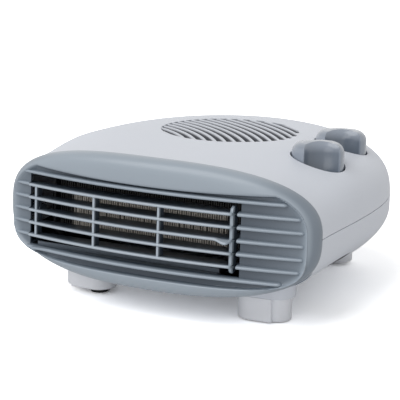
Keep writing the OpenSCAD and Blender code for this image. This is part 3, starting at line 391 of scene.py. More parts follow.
# Painted shade: the recess darkens behind the bowed face, between and above its ribs.
recess_blue_painted_shade = moulded("recess blue", (150, 161, 172), (145, 156, 167), 0.36, 0.1, BLUE_GRAIN, coat=0.1,
                      painted_shade=(behind_bow, (68, 78, 90)))
# Painted shade: the blades darken just behind their rounded noses.
louvre_blue_painted_shade = moulded("louvre blue", (168, 178, 188), (162, 172, 182), 0.34, 0.08, BLUE_GRAIN, coat=0.1,
                      painted_shade=(behind_nose, (66, 76, 88)))
# Painted light: a copy of the louvre's plastic without its painted shade, for the end plate's front.
plate_blue_painted_lit = moulded("plate blue", (160, 171, 181), (154, 165, 175), 0.33, 0.08, BLUE_GRAIN, coat=0.1)
# Painted shade: the sill is the bezel's plastic in a darker middle tone.
sill_blue_painted_shade = moulded("sill blue", (118, 128, 140), (112, 122, 134), 0.36, 0.08, BLUE_GRAIN)
shade_black = moulded("shade black", (26, 29, 34), (20, 22, 27), 0.6, 0.2, BLUE_GRAIN)
black_plastic = moulded("black plastic", (40, 41, 44), (30, 31, 33), 0.55, 0.3, 1500)
pale_plastic = moulded("pale plastic", (226, 222, 210), (214, 209, 196), 0.5, 0.2, 1500)
rubber = moulded("rubber", (28, 28, 30), (18, 18, 20), 0.8, 0.5, 1800)
zinc = moulded("zinc sheet", (176, 178, 182), (140, 143, 149), 0.38, 0.3, 900, 0, 0.15, 0.9)
dull_steel = moulded("dull steel", (122, 124, 128), (96, 98, 103), 0.45, 0.5, 1400, 0, 0.15, 0.9)
bright_steel = moulded("bright steel", (200, 201, 204), (180, 182, 186), 0.28, 0.2, 1200, 0, 0.1, 1.0)
mica = moulded("mica", (58, 52, 44), (40, 36, 30), 0.6, 0.5, 500)
# Painted shade: the strips go near black where no light gets in.
heating_strip = moulded("heating strip", (238, 232, 222), (204, 197, 187), 0.4, 0.4, 1300, 0, 0.2, 0.1,
                        painted_shade=(out_of_light, (15, 15, 16)))
copper = moulded("copper wire", (190, 112, 72), (160, 88, 54), 0.35, 0.6, 1600, 0, 0.1, 0.9)
bronze = moulded("bronze", (170, 132, 84), (140, 104, 62), 0.5, 0.6, 2400, 0, 0.1, 0.9)
print("finishes:", len(bpy.data.materials))

# %% [markdown]
# ## The camera
#
# The picture was taken from the right of the front, 15 degrees above the floor, through a long lens.
# The lens, the distance and the point it looks at come from fitting the case's outline and ribs.

# %% Camera
VIEW_RIGHT, VIEW_UP = math.radians(27.87), math.radians(15.0)
LENS_PIXELS, FRAME_PIXELS, SENSOR = 1877.6, 400, 36.0
CAMERA_MM, AIM_RIGHT, AIM_RISE = 1298.7, 45.48, 23.81
forward = np.array([-math.sin(VIEW_RIGHT) * math.cos(VIEW_UP),
                    math.cos(VIEW_RIGHT) * math.cos(VIEW_UP), -math.sin(VIEW_UP)])
aim = np.array([AIM_RIGHT, CASE_Y, AIM_RISE + SEAM_Z])
camera = add_object("camera", bpy.data.cameras.new("camera"))
camera.location = (aim - forward * CAMERA_MM) / 1000
camera.rotation_euler = (math.pi / 2 - VIEW_UP, 0, VIEW_RIGHT)
camera.data.sensor_width = SENSOR
camera.data.lens = LENS_PIXELS / FRAME_PIXELS * SENSOR
camera.data.clip_start = 0.05
bpy.context.scene.camera = camera
print("lens", round(camera.data.lens, 1), "mm, camera at", [round(v, 3) for v in camera.location])

# %% [markdown]
# ## The case halves
#
# The case is a shell of one smooth form: straight at the front, then closing to the back like a
# pebble. A formula gives it row by row, and the same formula with an inset gives the inside. The seam
# leaves the bezel level with it, then runs level with the floor, while the case leans back. A small
# gap with a lip behind it draws the fine dark line of the real joint.

# %% The pebble form
ROWS_STRAIGHT, ROWS_BACK, COLUMNS = 8, 44, 96
BACK_ANGLE = math.radians(87)
SHELL_FRONT, INSIDE_FRONT, HALVES_LAP = BEZEL_DEPTH + 0.4, 5, 0.5
TOP_HALF = (TOP_H, BEZEL_TOP_H, TOP_POWER, TOP_PROFILE, TOP_DROP)
LOW_HALF = (BOTTOM_H, BEZEL_LOW_H, 2.2, 1.7, 0.0)


def closing(reach, share, power):
    """Height left on the way to the back, lost earlier where the share is larger."""
    return np.maximum(0, 1 - reach ** (power / (1 + share))) ** (1 / power)


def half_form(name, half, inset, front, flip):
    """Half of the form as a closed solid, which laps a little over the seam."""
    height, edge, power, profile, drop = half
    share = -np.cos(np.pi * np.arange(COLUMNS + 1) / COLUMNS)
    rings = []
    for k in range(ROWS_STRAIGHT + ROWS_BACK + 1):
        if k < ROWS_STRAIGHT:
            t = k / ROWS_STRAIGHT
            lean, reach, y = 1 - t, 0.0, front + (STRAIGHT_D - front) * t
        else:
            reach = math.sin(BACK_ANGLE * (k - ROWS_STRAIGHT) / ROWS_BACK)
            lean, y = 0.0, STRAIGHT_D + (CASE_D - inset - STRAIGHT_D) * reach
        soft = soften(lean)
        half_w = (CASE_W / 2 + (BEZEL_W - CASE_W) / 2 * soft - inset) * dome(reach, PLAN_POWER)
        top = height + (edge - height) * soft - inset
        x = share * half_w
        y = y + bow(x) * lean
        z = top * dome(share, power + (OVAL - power) * soft) * closing(reach, drop * share**2, profile)
        rings.append(leaned(np.r_[x, x[::-1]], np.r_[y, y[::-1]],
                            flip * np.r_[z, np.full(len(x), -HALVES_LAP)]))
    return loft(name, rings)


def whole_form(name, inset, front):
    """Both halves of the form in one, drawn in by an inset."""
    lower = half_form("lower half", LOW_HALF, inset, front, -1)
    return shape(half_form(name, TOP_HALF, inset, front, 1), "UNION", lower)


def cavity():
    return whole_form("inside", WALL, INSIDE_FRONT)


def top_height(x, y):
    """Height of the top of the case over the seam."""
    reach = np.clip((np.asarray(y, float) - STRAIGHT_D) / (CASE_D - STRAIGHT_D), 0, 1)
    lean = np.clip((STRAIGHT_D - np.asarray(y, float)) / (STRAIGHT_D - SHELL_FRONT), 0, 1)
    soft = soften(lean)
    share = x / (CASE_W / 2 * dome(reach, PLAN_POWER))
    top = (TOP_H + (BEZEL_TOP_H - TOP_H) * soft) * dome(share, TOP_POWER + (OVAL - TOP_POWER) * soft)
    return top * closing(reach, TOP_DROP * share**2, TOP_PROFILE)


print("crown of the case:", round(float(top_height(0, STRAIGHT_D)), 2), "mm above the seam")

# %% [markdown]
# The round inlet is part of the top shell. Its slats are bent along large circles, and their upper
# edges are rounded, so each catches a thin line of light. Here the slots are cut, not the slats made:
# each cutter follows the case's height and flares at its mouth, and a slat stays between two cutters.

# %% Slots of the inlet
INLET_Y, INLET_R = 132.0, 52.0
SLOT_PITCH, SLOT_HALF, SLAT_DEPTH = 7.0, 1.95, 4.4
SLAT_CURVE, SLAT_DIR, SLOT_REACH = 200.0, math.radians(50), 0.6
SLOT_STEPS = int((INLET_R - 2) / SLOT_PITCH)
MOUTH = [(0, -9), (0, -1.5), (0.12, -0.95), (0.4, -0.5), (0.8, -0.18), (1.25, -0.02), (1.3, 3)]


def slot_cutter(step):
    """One bent slot, a little longer than the inlet is wide there."""
    off = step * SLOT_PITCH
    half = math.asin(math.sqrt((INLET_R + 1) ** 2 - off**2) / (SLAT_CURVE + off)) + 0.012
    middle_x = -SLAT_CURVE * math.cos(SLAT_DIR)
    middle_y = INLET_Y - SLAT_CURVE * math.sin(SLAT_DIR)
    rings = []
    for turn in np.linspace(SLAT_DIR - half, SLAT_DIR + half, 25):
        cx = middle_x + (SLAT_CURVE + off) * math.cos(turn)
        cy = middle_y + (SLAT_CURVE + off) * math.sin(turn)
        level = float(top_height(cx, cy))
        side = [(SLOT_HALF + flare, level + rise) for flare, rise in MOUTH]
        outline = side + [(-u, z) for u, z in reversed(side)]
        u, z = np.array(outline).T
        rings.append(leaned(cx + u * math.cos(turn), cy + u * math.sin(turn), z))
    return loft(f"slot {step}", rings)


def inlet_cutter():
    """All slots in one, cut round at the edge of the inlet."""
    slots = [slot_cutter(step) for step in range(-SLOT_STEPS, SLOT_STEPS + 1)]
    edge = bar("inlet edge", UPWARD, (0, INLET_Y), INLET_R + SLOT_REACH, 30, 60, 128)
    return shape(shape(slots[0], "UNION", *slots[1:]), "INTERSECT", edge)


# %% Top shell
Knob = namedtuple("Knob", "x y angle")
KNOBS = {"mode": Knob(92.5, 90.0, math.radians(37)), "thermostat": Knob(85.0, 148.5, math.radians(28))}
KNOB_R, KNOB_GAP = 19.0, 1.2
SEAM_HALF, SEAM_FROM = 0.25, 24.0
AHEAD, BEHIND, ASIDE, FAR = -50, 300, 200, 90


def seam_side(name, gap, far):
    """All that lies on one side of the seam: level with the bezel first, then with the floor."""
    rise = [gap + max(0, y - SEAM_FROM) * SIN / COS for y in (AHEAD, SEAM_FROM, BEHIND)]
    y = np.array([AHEAD, SEAM_FROM, BEHIND, BEHIND, SEAM_FROM, AHEAD])
    z = np.array(rise + [far] * 3)
    return loft(name, [leaned(x, y, z) for x in (-ASIDE, ASIDE)])


inside = shape(cavity(), "DIFFERENCE",
               bar("grille disc", UPWARD, (0, INLET_Y), INLET_R + 1, TOP_H - 1 - SLAT_DEPTH, 70, 96))
top_shell = shape(whole_form("top_shell_skin", 0, SHELL_FRONT), "DIFFERENCE", inside,
                  seam_side("below", SEAM_HALF, -FAR), inlet_cutter(),
                  *[bar("knob hole", UPWARD, knob[:2], KNOB_R + KNOB_GAP, 5, 80, 96)
                    for knob in KNOBS.values()])
finish_piece(top_shell, "heater_body", ["top_shell"], shell_grey)
# Painted shade: the faces of the inlet take the slat grey, darkened between the slats.
finish_faces(top_shell, slat_grey_painted_shade, lambda x, y, z: np.hypot(x, y - INLET_Y) < INLET_R + 1)

# %% [markdown]
# ## Feet and their collars
#
# The feet stand straight on the floor while the case leans over them, so they are written in floor
# millimetres. Each is a long block with round ends, pushed up into a collar of the bottom shell, with
# a rubber pad below its inner end. The front feet have a thicker shin at their inner half.

# %% Shapes of the feet
Foot = namedtuple("Foot", "side x y length turn_way low collar_low top")
FEET = {"front_left": Foot(-1, 74.0, 49.0, 37.0, 1, 4.0, 18.5, 32.0),
        "front_right": Foot(1, 74.0, 49.0, 37.0, 1, 0.8, 18.5, 32.0),
        "rear_left": Foot(-1, 60.0, 199.0, 30.0, -1, 2.5, 28.0, 46.0),
        "rear_right": Foot(1, 60.0, 199.0, 30.0, -1, 2.5, 28.0, 46.0)}
FOOT_W, FOOT_ROUND, SHIN_ALONG = 20.0, 1.2, 8.5
COLLAR_WALL, SOCKET_GAP = 3.2, 0.3
PAD_R, PAD_GAP, PAD_SUNK = 7.0, 0.05, 1.5
SPLAY = math.radians(3)


def on_floor(name, along, across, height):
    """Millimetres along and across a foot to metres on the floor."""
    foot = FEET[name]
    turn = foot.side * foot.turn_way * SPLAY
    along, across, height = np.broadcast_arrays(np.asarray(along, float), across, height)
    x = foot.side * foot.x + along * math.cos(turn) - across * math.sin(turn)
    y = CASE_Y + foot.y + along * math.sin(turn) + across * math.cos(turn)
    return np.stack([x, y, height], -1) / 1000


def stadium(length, width):
    """Outline with round ends, as along and across."""
    turn = np.linspace(-np.pi / 2, np.pi / 2, 17)
    reach = (length - width) / 2
    right = np.stack([reach + width / 2 * np.cos(turn), width / 2 * np.sin(turn)], 1)
    return np.r_[right, -right]


def upright(name, foot, levels):
    """A lofted block on the floor: each level is a height, a length and a width."""
    rings = []
    for height, length, width in levels:
        along, across = stadium(length, width).T
        rings.append(on_floor(foot, along, across, height))
    return loft(name, rings)


def round_over(low, high, length, width, radius):
    """Levels of a block whose lower edge is rounded."""
    levels = []
    for t in np.linspace(np.pi / 2, 0, 6):
        less = 2 * radius * (1 - math.cos(t))
        levels.append((low + radius * (1 - math.sin(t)), length - less, width - less))
    return levels + [(high, length, width)]


def widened(data, more):
    return data.length + more, FOOT_W + more


# %% Bottom shell
BOSSES = [(side * x, y) for side in (-1, 1)
          for x, y in ((CASE_W / 2 - 20, 62.0), (CASE_W / 2 - 43, 176.0))]
POST_R, WELL_R, WELL_TOP = 5.0, 3.2, -14
BUSH, BUSH_HOLE_R, BUSH_SEAT_R, BUSH_BOSS_R = (-20.0, -11.5), 6.0, 8.75, 10.0
BUSH_SEAT = CASE_D - 6
LIP_INSET, LIP_BELOW, LIP_ABOVE = 1.4, 3, 1.6


def collar(foot, data):
    wide = widened(data, 2 * COLLAR_WALL)
    return upright("collar", foot, round_over(data.collar_low, data.top + WALL, *wide, 0.6))


def socket(foot, data):
    wide = widened(data, SOCKET_GAP)
    return upright("socket", foot, [(data.collar_low - 1, *wide), (data.top, *wide)])


def post(spot):
    """A post round a screw's well, cut off inside the skin of the case."""
    edge = whole_form("post edge", 1.0, SHELL_FRONT)
    return shape(bar("screw post", UPWARD, spot, POST_R, -60, -0.5, 48), "INTERSECT", edge)


bottom_shell = shape(whole_form("bottom_shell_skin", 0, SHELL_FRONT), "DIFFERENCE",
                     cavity(), seam_side("above", -SEAM_HALF, FAR))
lip = shape(whole_form("lip", LIP_INSET, SHELL_FRONT + 6), "DIFFERENCE", cavity(),
            seam_side("lower part", -LIP_BELOW, -FAR), seam_side("upper part", LIP_ABOVE, FAR))
collars = [collar(*item) for item in FEET.items()]
bush_boss = bar("bush boss", BACKWARD, BUSH, BUSH_BOSS_R, CASE_D - 20, BUSH_SEAT, 64)
posts = [post(spot) for spot in BOSSES]
bottom_shell = shape(bottom_shell, "UNION", lip, *collars, *posts, bush_boss)
sockets = [socket(*item) for item in FEET.items()]
wells = [bar("screw well", UPWARD, spot, WELL_R, -60, WELL_TOP, 48) for spot in BOSSES]
bush_holes = [bar("bush hole", BACKWARD, BUSH, BUSH_HOLE_R, CASE_D - 22, CASE_D + 6, 64),
              bar("bush seat", BACKWARD, BUSH, BUSH_SEAT_R, BUSH_SEAT, CASE_D + 6, 64)]
bottom_shell = shape(bottom_shell, "DIFFERENCE", *sockets, *wells, *bush_holes)
finish_piece(bottom_shell, "heater_body", ["bottom_shell"], shell_grey)


def inner_wall(x, y, z):
    """The inside of the bottom shell next to the window, which stays in the dark."""
    outside = 0.97 * BOTTOM_H * dome(x / (CASE_W / 2), 2.5)
    return (z > 1.4 - outside) & (y < 95) & (np.abs(x) < 118)


# Painted shade: the inside of the bottom shell next to the window gets plain black.
finish_faces(bottom_shell, shade_black, inner_wall)

# %% Feet and pads
def foot_block(foot, data):
    """A foot with its shin and the pocket for its pad."""
    neck = round_over(data.low, data.collar_low + 4, data.length, FOOT_W, FOOT_ROUND)
    piece = upright(f"{foot}_foot_block", foot, neck + [(data.top, data.length, FOOT_W)])
    if foot.startswith("front"):
        wide = widened(data, 2 * COLLAR_WALL)
        shin = upright("shin", foot, round_over(data.low, data.collar_low - 0.05, *wide, FOOT_ROUND))
        near, far = (-60, SHIN_ALONG) if data.side > 0 else (-SHIN_ALONG, 60)
        along, across = np.array([near, far, far, near]), np.array([-40, -40, 40, 40])
        keep = loft("inner part", [on_floor(foot, along, across, z) for z in (-5, 60)])
        piece = shape(piece, "UNION", shape(shin, "INTERSECT", keep))
    depth = [(z, PAD_R + PAD_GAP) for z in (-1, data.low + PAD_SUNK)]
    return shape(piece, "DIFFERENCE", floor_disc("pad pocket", foot, data, depth))


def floor_disc(name, foot, data, profile):
    """A round piece under the inner end of a foot, through pairs of height and radius."""
    centre = -data.side * (data.length - FOOT_W) / 2
    turn = 2 * np.pi * np.arange(64) / 64
    return loft(name, [on_floor(foot, centre + r * np.cos(turn), r * np.sin(turn), z)
                       for z, r in profile])


for foot, data in FEET.items():
    piece = foot_block(foot, data)
    # Painted light: the feet take the paler copy of the case's grey.
    finish_piece(piece, "heater_body", [f"{foot}_foot"], foot_grey_painted_light)
    # Painted shade: the faces of the foot that reach up into the collar get plain black.
    hidden_from = data.collar_low + 4.5
    finish_faces(piece, shade_black, lambda x, y, z: SEAM_Z + z * COS - y * SIN > hidden_from)
    profile = [(0, 5.4), (0, 6.4), (0.5, 6.95), (data.low + PAD_SUNK, PAD_R)]
    pad = floor_disc(f"{foot}_pad_disc", foot, data, profile)
    finish_piece(pad, "heater_body", [f"{foot}_pad"], rubber)

# %% [markdown]
# ## The front
#
# The bezel is a bowed oval. Its rim turns back to meet the case, its forehead is smooth, and the rest
# is a shallow recess with seven ribs and the window. A ring lofted right round gives the rim: out from
# its rear edge, over the front, down a soft lip into the recess and back along the inside.

# %% Face of the bezel
BEZEL_WALL, EDGE_LAND = 2.2, 0.5


def oval(turn, inset=0.0):
    """A point of the bezel's outline, which hangs lower than it rises."""
    c, s = np.cos(turn), np.sin(turn)
    half_h = np.where(s > 0, BEZEL_TOP_H, BEZEL_LOW_H) - inset
    return ((BEZEL_W / 2 - inset) * np.sign(c) * np.abs(c) ** (2 / OVAL),
            half_h * np.sign(s) * np.abs(s) ** (2 / OVAL))


def face_depth(x, z, inset=0.0):
    """Distance of the smooth face behind the front plane, at a point of the front."""
    share_x = np.abs(x) / (BEZEL_W / 2 - inset)
    share_z = np.abs(z) / (np.where(z > 0, BEZEL_TOP_H, BEZEL_LOW_H) - inset)
    ring = np.clip((share_x**OVAL + share_z**OVAL) ** (1 / OVAL), 1e-6, 1)
    power = 13 + 15 * (share_x / ring) ** 3
    return bow(x) + (BEZEL_DEPTH - EDGE_LAND) * (1 - np.sqrt(np.maximum(0, 1 - ring**power)))


def recess_edge(x):
    """Lower and upper edge of the recess at a place across."""
    brow = FOREHEAD_Z + 4 * (x / RECESS_W) ** 2
    high = np.minimum(RECESS_HIGH * dome(x / RECESS_W, RECESS_HIGH_POWER), brow)
    return -RECESS_LOW * dome(x / RECESS_W, RECESS_LOW_POWER), high


def recess_end(z):
    """Half the width of the recess at a height."""
    reach = np.where(z > 0, RECESS_HIGH, RECESS_LOW)
    return RECESS_W * dome(z / reach, np.where(z > 0, RECESS_HIGH_POWER, RECESS_LOW_POWER))


def recess_outline(turn):
    """Where rays from the middle leave the recess, and its outward direction there."""
    ox, oz = oval(turn)
    near, far = np.zeros_like(ox), np.ones_like(ox)
    for _ in range(40):
        middle = (near + far) / 2
        x, z = ox * middle, oz * middle
        low, high = recess_edge(x)
        within = (np.abs(x) < RECESS_W) & (z < high) & (z > low)
        near, far = np.where(within, middle, near), np.where(within, far, middle)
    x, z = ox * near, oz * near
    dx, dz = np.roll(x, -1) - np.roll(x, 1), np.roll(z, -1) - np.roll(z, 1)
    length = np.hypot(dx, dz)
    return x, z, dz / length, -dx / length


def floor_depth(x, z):
    """Depth of the recess floor, which rises in a fillet towards the ends of the recess."""
    rise = np.clip(1 - (recess_end(z) - np.abs(x)) / 7, 0, 1)
    return bow(x, FLOOR_BOW_R) + RECESS_DEPTH - 2.6 * (1 - np.sqrt(np.maximum(0, 1 - rise**2)))


TURNS = 2 * np.pi * (np.arange(400) + 0.5) / 400
rim_x, rim_z = oval(TURNS)
in_x, in_z = oval(TURNS, BEZEL_WALL)
cut_x, cut_z, out_x, out_z = recess_outline(TURNS)
LIP = 1.1 + 1.1 * np.clip((cut_z - 14) / 12, 0, 1)
INNER = 1.1


def beside_cut(away):
    """The edge of the recess, moved outwards."""
    return cut_x + out_x * away, cut_z + out_z * away


def floor_at(x, z):
    """Depth of the floor, never before the end of the lip."""
    return np.maximum(floor_depth(x, z), face_depth(x, z) + LIP + 0.1)


rings = [leaned(rim_x, bow(rim_x) + BEZEL_DEPTH, rim_z)]
lip_x, lip_z = beside_cut(LIP)
for t in [0, 0.004, 0.012, 0.03, 0.06, 0.1, 0.16, 0.24, 0.34, 0.46, 0.6, 0.8, 1.0]:
    x, z = rim_x + (lip_x - rim_x) * t, rim_z + (lip_z - rim_z) * t
    rings.append(leaned(x, face_depth(x, z), z))
for t in np.radians([15, 30, 45, 60, 75, 90]):
    x, z = beside_cut(LIP * (1 - math.sin(t)))
    rings.append(leaned(x, face_depth(x, z) + LIP * (1 - math.cos(t)), z))
for t in np.radians([0, 30, 60, 90]):
    x, z = beside_cut(-INNER * (1 - math.cos(t)))
    rings.append(leaned(x, floor_at(x, z) - INNER * (1 - math.sin(t)) * 0.9, z))
for step_out, behind in ((-2.2, 0.0), (-2.2, 2.0), (1.8, 2.2)):
    x, z = beside_cut(step_out)
    rings.append(leaned(x, floor_at(x, z) + behind, z))
back_x, back_z = beside_cut(2.5)
for t in [1.0, 0.5, 0.2, 0.08, 0.02, 0]:
    x, z = in_x + (back_x - in_x) * t, in_z + (back_z - in_z) * t
    rings.append(leaned(x, face_depth(x, z, BEZEL_WALL) + BEZEL_WALL + 0.6 * t, z))
rings.append(leaned(in_x, bow(in_x) + BEZEL_DEPTH, in_z))
bezel = loft("bezel_skin", rings, closed=True)
print("rim ring faces:", len(bezel.data.polygons))

# %% [markdown]
# The floor of the recess is one plate that rises in a fillet at both ends. Thin ribs stand on it. From
# a little above, their upper sides and the floor between them fall into shade, and only the rounded
# front of each rib stays bright. The window is cut out of the plate.

# %% Floor plate with its window
grid_x = np.linspace(-RECESS_W - 1, RECESS_W + 1, 161)
plate_rings = []
for z in np.arange(-RECESS_LOW - 1, RECESS_HIGH + 1, 0.94):
    front = floor_depth(grid_x, np.full_like(grid_x, z))
    plate_rings.append(leaned(np.r_[grid_x, grid_x[::-1]], np.r_[front, front[::-1] + 2.0], z))
plate = loft("recess plate", plate_rings)
edge_x, edge_z = beside_cut(0.6)
trim = loft("recess trim", [leaned(edge_x, y, edge_z) for y in (-10, 60)])
window = block("window", -WINDOW_LEFT, WINDOW_RIGHT, -20, 60, WINDOW_LOW, WINDOW_TOP)
plate = shape(shape(plate, "INTERSECT", trim), "DIFFERENCE", window)
print("plate faces:", len(plate.data.polygons))

# %% Ribs
RIB_REACH, RIB_BOW_R = 1.5, 430.0
TIP_R, TIP_GAP, RIB_DRAFT = 2.6, 1.6, 0.9


def rib(z, left, right, round_left=False, round_right=False):
    """A thin wall on the floor with a round front edge; a free end may be rounded off."""
    places = np.linspace(left, right, 50)
    if round_right:
        steps = TIP_R * np.cos(np.linspace(0, np.pi / 2, 9))
        places = np.r_[places[places < right - TIP_R], right - steps]
    if round_left:
        places = np.r_[left, left + 0.15, left + 0.5, left + 1.0, places[1:]]
    turns = np.linspace(-np.pi / 2, np.pi / 2, 9)
    rings = []
    for x in places:
        back = float(bow(x, FLOOR_BOW_R)) + RECESS_DEPTH + 1.0
        gap = x - left if round_left else 9
        cut = 1.2 * (1 - math.sqrt(max(0, 1 - max(0, 1 - gap / 1.2) ** 2)))
        tip = max(0, 1 - (right - x) / TIP_R) if round_right else 0
        half = RIB_R * max(0.12, math.sqrt(max(0, 1 - tip**2)))
        front = float(bow(x, RIB_BOW_R)) + 0.3 + cut + 2.6 * tip**2
        y = np.r_[front + half * (1 - np.cos(turns)), back, back, back]
        height = np.r_[z + half * np.sin(turns), z + half + RIB_DRAFT, z, z - half]
        rings.append(leaned(x, y, height))
    return loft("rib", rings)


ribs = []
for k in range(RIB_COUNT):
    z = TOP_RIB_Z - k * RIB_PITCH
    end = float(recess_end(z)) + 0.5
    right_end = end - TIP_GAP
    if k in (0, RIB_COUNT - 1):
        ribs.append(rib(z, -end, right_end - 1.5, round_right=True))
    else:
        ribs.append(rib(z, WINDOW_RIGHT - RIB_REACH, right_end, round_left=True, round_right=True))
        ribs.append(rib(z, -end, -WINDOW_LEFT))
print("ribs:", len(ribs))

# %% [markdown]
# Behind the face the bezel carries what holds it: a skirt that slips into the case, a small sill under
# the window, and two lugs with the bores in which the louvre's pins turn. What lies deep in the recess
# gets plain black as painted shade, and the sill a darker middle tone as painted shade.

# %% Skirt, sill and lugs
SWING_Y, SWING_Z = 21.0, TOP_RIB_Z - RIB_PITCH * (RIB_COUNT - 1) / 2
LUG_W, LUG_STEP, LUG_HALF, PIN_R = 6.0, 2.0, 5.5, 2.5
SILL_LEFT, SILL_RIGHT, SILL_FRONT, SILL_BACK, SILL_T = -99, 52, 9, 19.8, 1.6
LUG_OUT = LUG_STEP + LUG_W
skirt_rings = []
for inset, depth in ((3.2, 6.0), (3.2, 20.0), (5.0, 20.0), (5.0, 6.0)):
    x, z = oval(TURNS, inset)
    skirt_rings.append(leaned(x, bow(x) + depth, z))
skirt = loft("skirt", skirt_rings, closed=True)
sill = [block("sill", SILL_LEFT, SILL_RIGHT, SILL_FRONT, SILL_BACK, WINDOW_LOW - SILL_T, WINDOW_LOW),
        block("sill edge", SILL_LEFT, SILL_RIGHT, SILL_BACK - SILL_T, SILL_BACK,
              WINDOW_LOW - SILL_T, WINDOW_LOW + 2.8)]
lugs = []
for x0 in (WINDOW_RIGHT + LUG_STEP, -WINDOW_LEFT - LUG_OUT):
    front = float(bow(x0 + LUG_W / 2, FLOOR_BOW_R)) + RECESS_DEPTH + 1
    lugs.append(block("lug", x0, x0 + LUG_W, front, SWING_Y + LUG_HALF,
                      SWING_Z - LUG_HALF, SWING_Z + LUG_HALF))
bezel = shape(bezel, "UNION", plate, *ribs, skirt, *sill, *lugs)
bores = [bar("bore", ACROSS, (SWING_Y, SWING_Z), PIN_R + 0.05, left, left + LUG_OUT + 1, 40)
         for left in (WINDOW_RIGHT, -WINDOW_LEFT - LUG_OUT - 1)]
bezel = shape(bezel, "DIFFERENCE", *bores)
finish_piece(bezel, "heater_body", ["front_bezel"], trim_blue, 40)


def in_recess(x, y, z):
    low, high = recess_edge(np.clip(x, -RECESS_W, RECESS_W))
    return (np.abs(x) < RECESS_W + 0.3) & (z > low - 0.3) & (z < high + 0.3)


def deeper(x, y, depth):
    return y - bow(np.clip(x, -125, 125)) > depth


def on_sill(x, y, z):
    along = (x > SILL_LEFT - 0.5) & (x < SILL_RIGHT + 0.5)
    return along & (abs(z - WINDOW_LOW) < 3) & (y > 11) & (y < 20) & deeper(x, y, 7)


# Painted shade: the faces of the recess darken with their depth behind the bowed face.
finish_faces(bezel, recess_blue_painted_shade, in_recess)
# Painted shade: what lies deep in the recess gets plain black.
finish_faces(bezel, shade_black, lambda x, y, z: in_recess(x, y, z) & deeper(x, y, 10.5))
# Painted shade: the sill takes its darker middle tone.
finish_faces(bezel, sill_blue_painted_shade, on_sill)

# %% [markdown]
# ## The louvre
#
# Five thin blades follow the bow of the front. Their front edges are rounded, their right ends are
# chamfered, and the middle one carries a tab for a finger. Shallow cross ribs hold them, and the louvre
# swings on two pins near its rear edge, each at the end of a short arm.

# %% Blades and cross ribs
LOUVRE_LEFT, LOUVRE_RIGHT = -WINDOW_LEFT + 1, WINDOW_RIGHT - 5
BLADE_BACK, BLADE_T = 22.0, 2.0
CROSS_INSET, CROSS_T, CROSS_DEEP, END_T, BAYS = 5.5, 1.6, 7.5, 2.2, 3
ARM_HALF = 3.6
NOSE = [(BLADE_T / 2 * (1 - math.sin(t)), BLADE_T / 2 * math.cos(t))
        for t in np.linspace(0, np.pi, 9)[1:-1]]


def blade(z, tab=False):
    """One blade, as sections that bulge forward where the tab is."""
    places = np.r_[np.linspace(LOUVRE_LEFT, LOUVRE_RIGHT - 14, 60),
                   np.linspace(LOUVRE_RIGHT - 13.5, LOUVRE_RIGHT, 28)]
    rings = []
    for x in places:
        cut = max(0, x - (LOUVRE_RIGHT - 1.5)) ** 2 * 0.6
        pull = 0.0
        if tab:
            rise = (x - (LOUVRE_RIGHT - 13)) / 9.6
            fall = (LOUVRE_RIGHT - x) / 2.2
            pull = soften(float(np.clip(min(rise, fall), 0, 1)))
        front = float(bow(x)) + cut - 3 * pull
        drop = -1.6 * pull
        nose = [(front + depth, z + side + drop) for depth, side in NOSE]
        top, low = z + BLADE_T / 2, z - BLADE_T / 2
        fade = [(front + 7, top + drop * 0.2), (front + 1, top + drop)]
        fade_low = [(front + 1, low + drop), (front + 7, low + drop * 0.2)]
        tail = [(BLADE_BACK, z - 0.6), (BLADE_BACK, z)]
        ring = [(BLADE_BACK, z + 0.6)] + fade + nose + fade_low + tail
        y, height = np.array(ring).T
        rings.append(leaned(x, y, height))
    return loft("blade", rings)


def cross_plate(x, front, back, low, high, thickness=CROSS_T, corner=1.0):
    """An upright plate with rounded corners, seen from the side."""
    near, far, base, head = front + corner, back - corner, low + corner, high - corner
    outline = []
    for cy, cz, start in ((near, base, np.pi), (far, base, 1.5 * np.pi),
                          (far, head, 0), (near, head, 0.5 * np.pi)):
        outline += [(cy + corner * math.cos(start + t), cz + corner * math.sin(start + t))
                    for t in np.linspace(0, np.pi / 2, 6)]
    y, z = np.array(outline).T
    mid_y, mid_z = y.mean(), z.mean()
    rings = [leaned(x + step, mid_y + (y - mid_y) * keep, mid_z + (z - mid_z) * keep)
             for step, keep in ((0, 0.985), (0.3, 1), (thickness - 0.3, 1), (thickness, 0.985))]
    return loft("cross plate", rings)


levels = [TOP_RIB_Z - k * RIB_PITCH for k in range(1, RIB_COUNT - 1)]
blades = [blade(z, tab=(i == 2)) for i, z in enumerate(levels)]
bay = (LOUVRE_RIGHT - END_T - (LOUVRE_LEFT + CROSS_INSET)) / BAYS
parts = []
for i in range(BAYS):
    x = LOUVRE_LEFT + CROSS_INSET + i * bay
    front = float(bow(x)) + 0.9
    parts.append(cross_plate(x, front, front + CROSS_DEEP, levels[-1] - 0.5, levels[0] + 0.5))
front = float(bow(LOUVRE_RIGHT)) + 3
parts.append(cross_plate(LOUVRE_RIGHT - END_T, front, front + 8,
                         SWING_Z - 24.3, SWING_Z + 24.3, END_T, 3.9))
for x in (LOUVRE_LEFT + CROSS_INSET, LOUVRE_RIGHT - END_T):
    parts.append(cross_plate(x, float(bow(x)) + 4, SWING_Y + ARM_HALF,
                             SWING_Z - ARM_HALF, SWING_Z + ARM_HALF, END_T, 3.0))
for left, right in ((-WINDOW_LEFT - 7, LOUVRE_LEFT + CROSS_INSET + 1),
                    (LOUVRE_RIGHT - 1, WINDOW_RIGHT + 7)):
    parts.append(bar("pin", ACROSS, (SWING_Y, SWING_Z), PIN_R, left, right, 40))
louvre = shape(blades[0], "UNION", *blades[1:], *parts)
louvre.name = "louvre_blades"
finish_piece(louvre, "louvre", ["louvre_insert"], louvre_blue_painted_shade, 40)
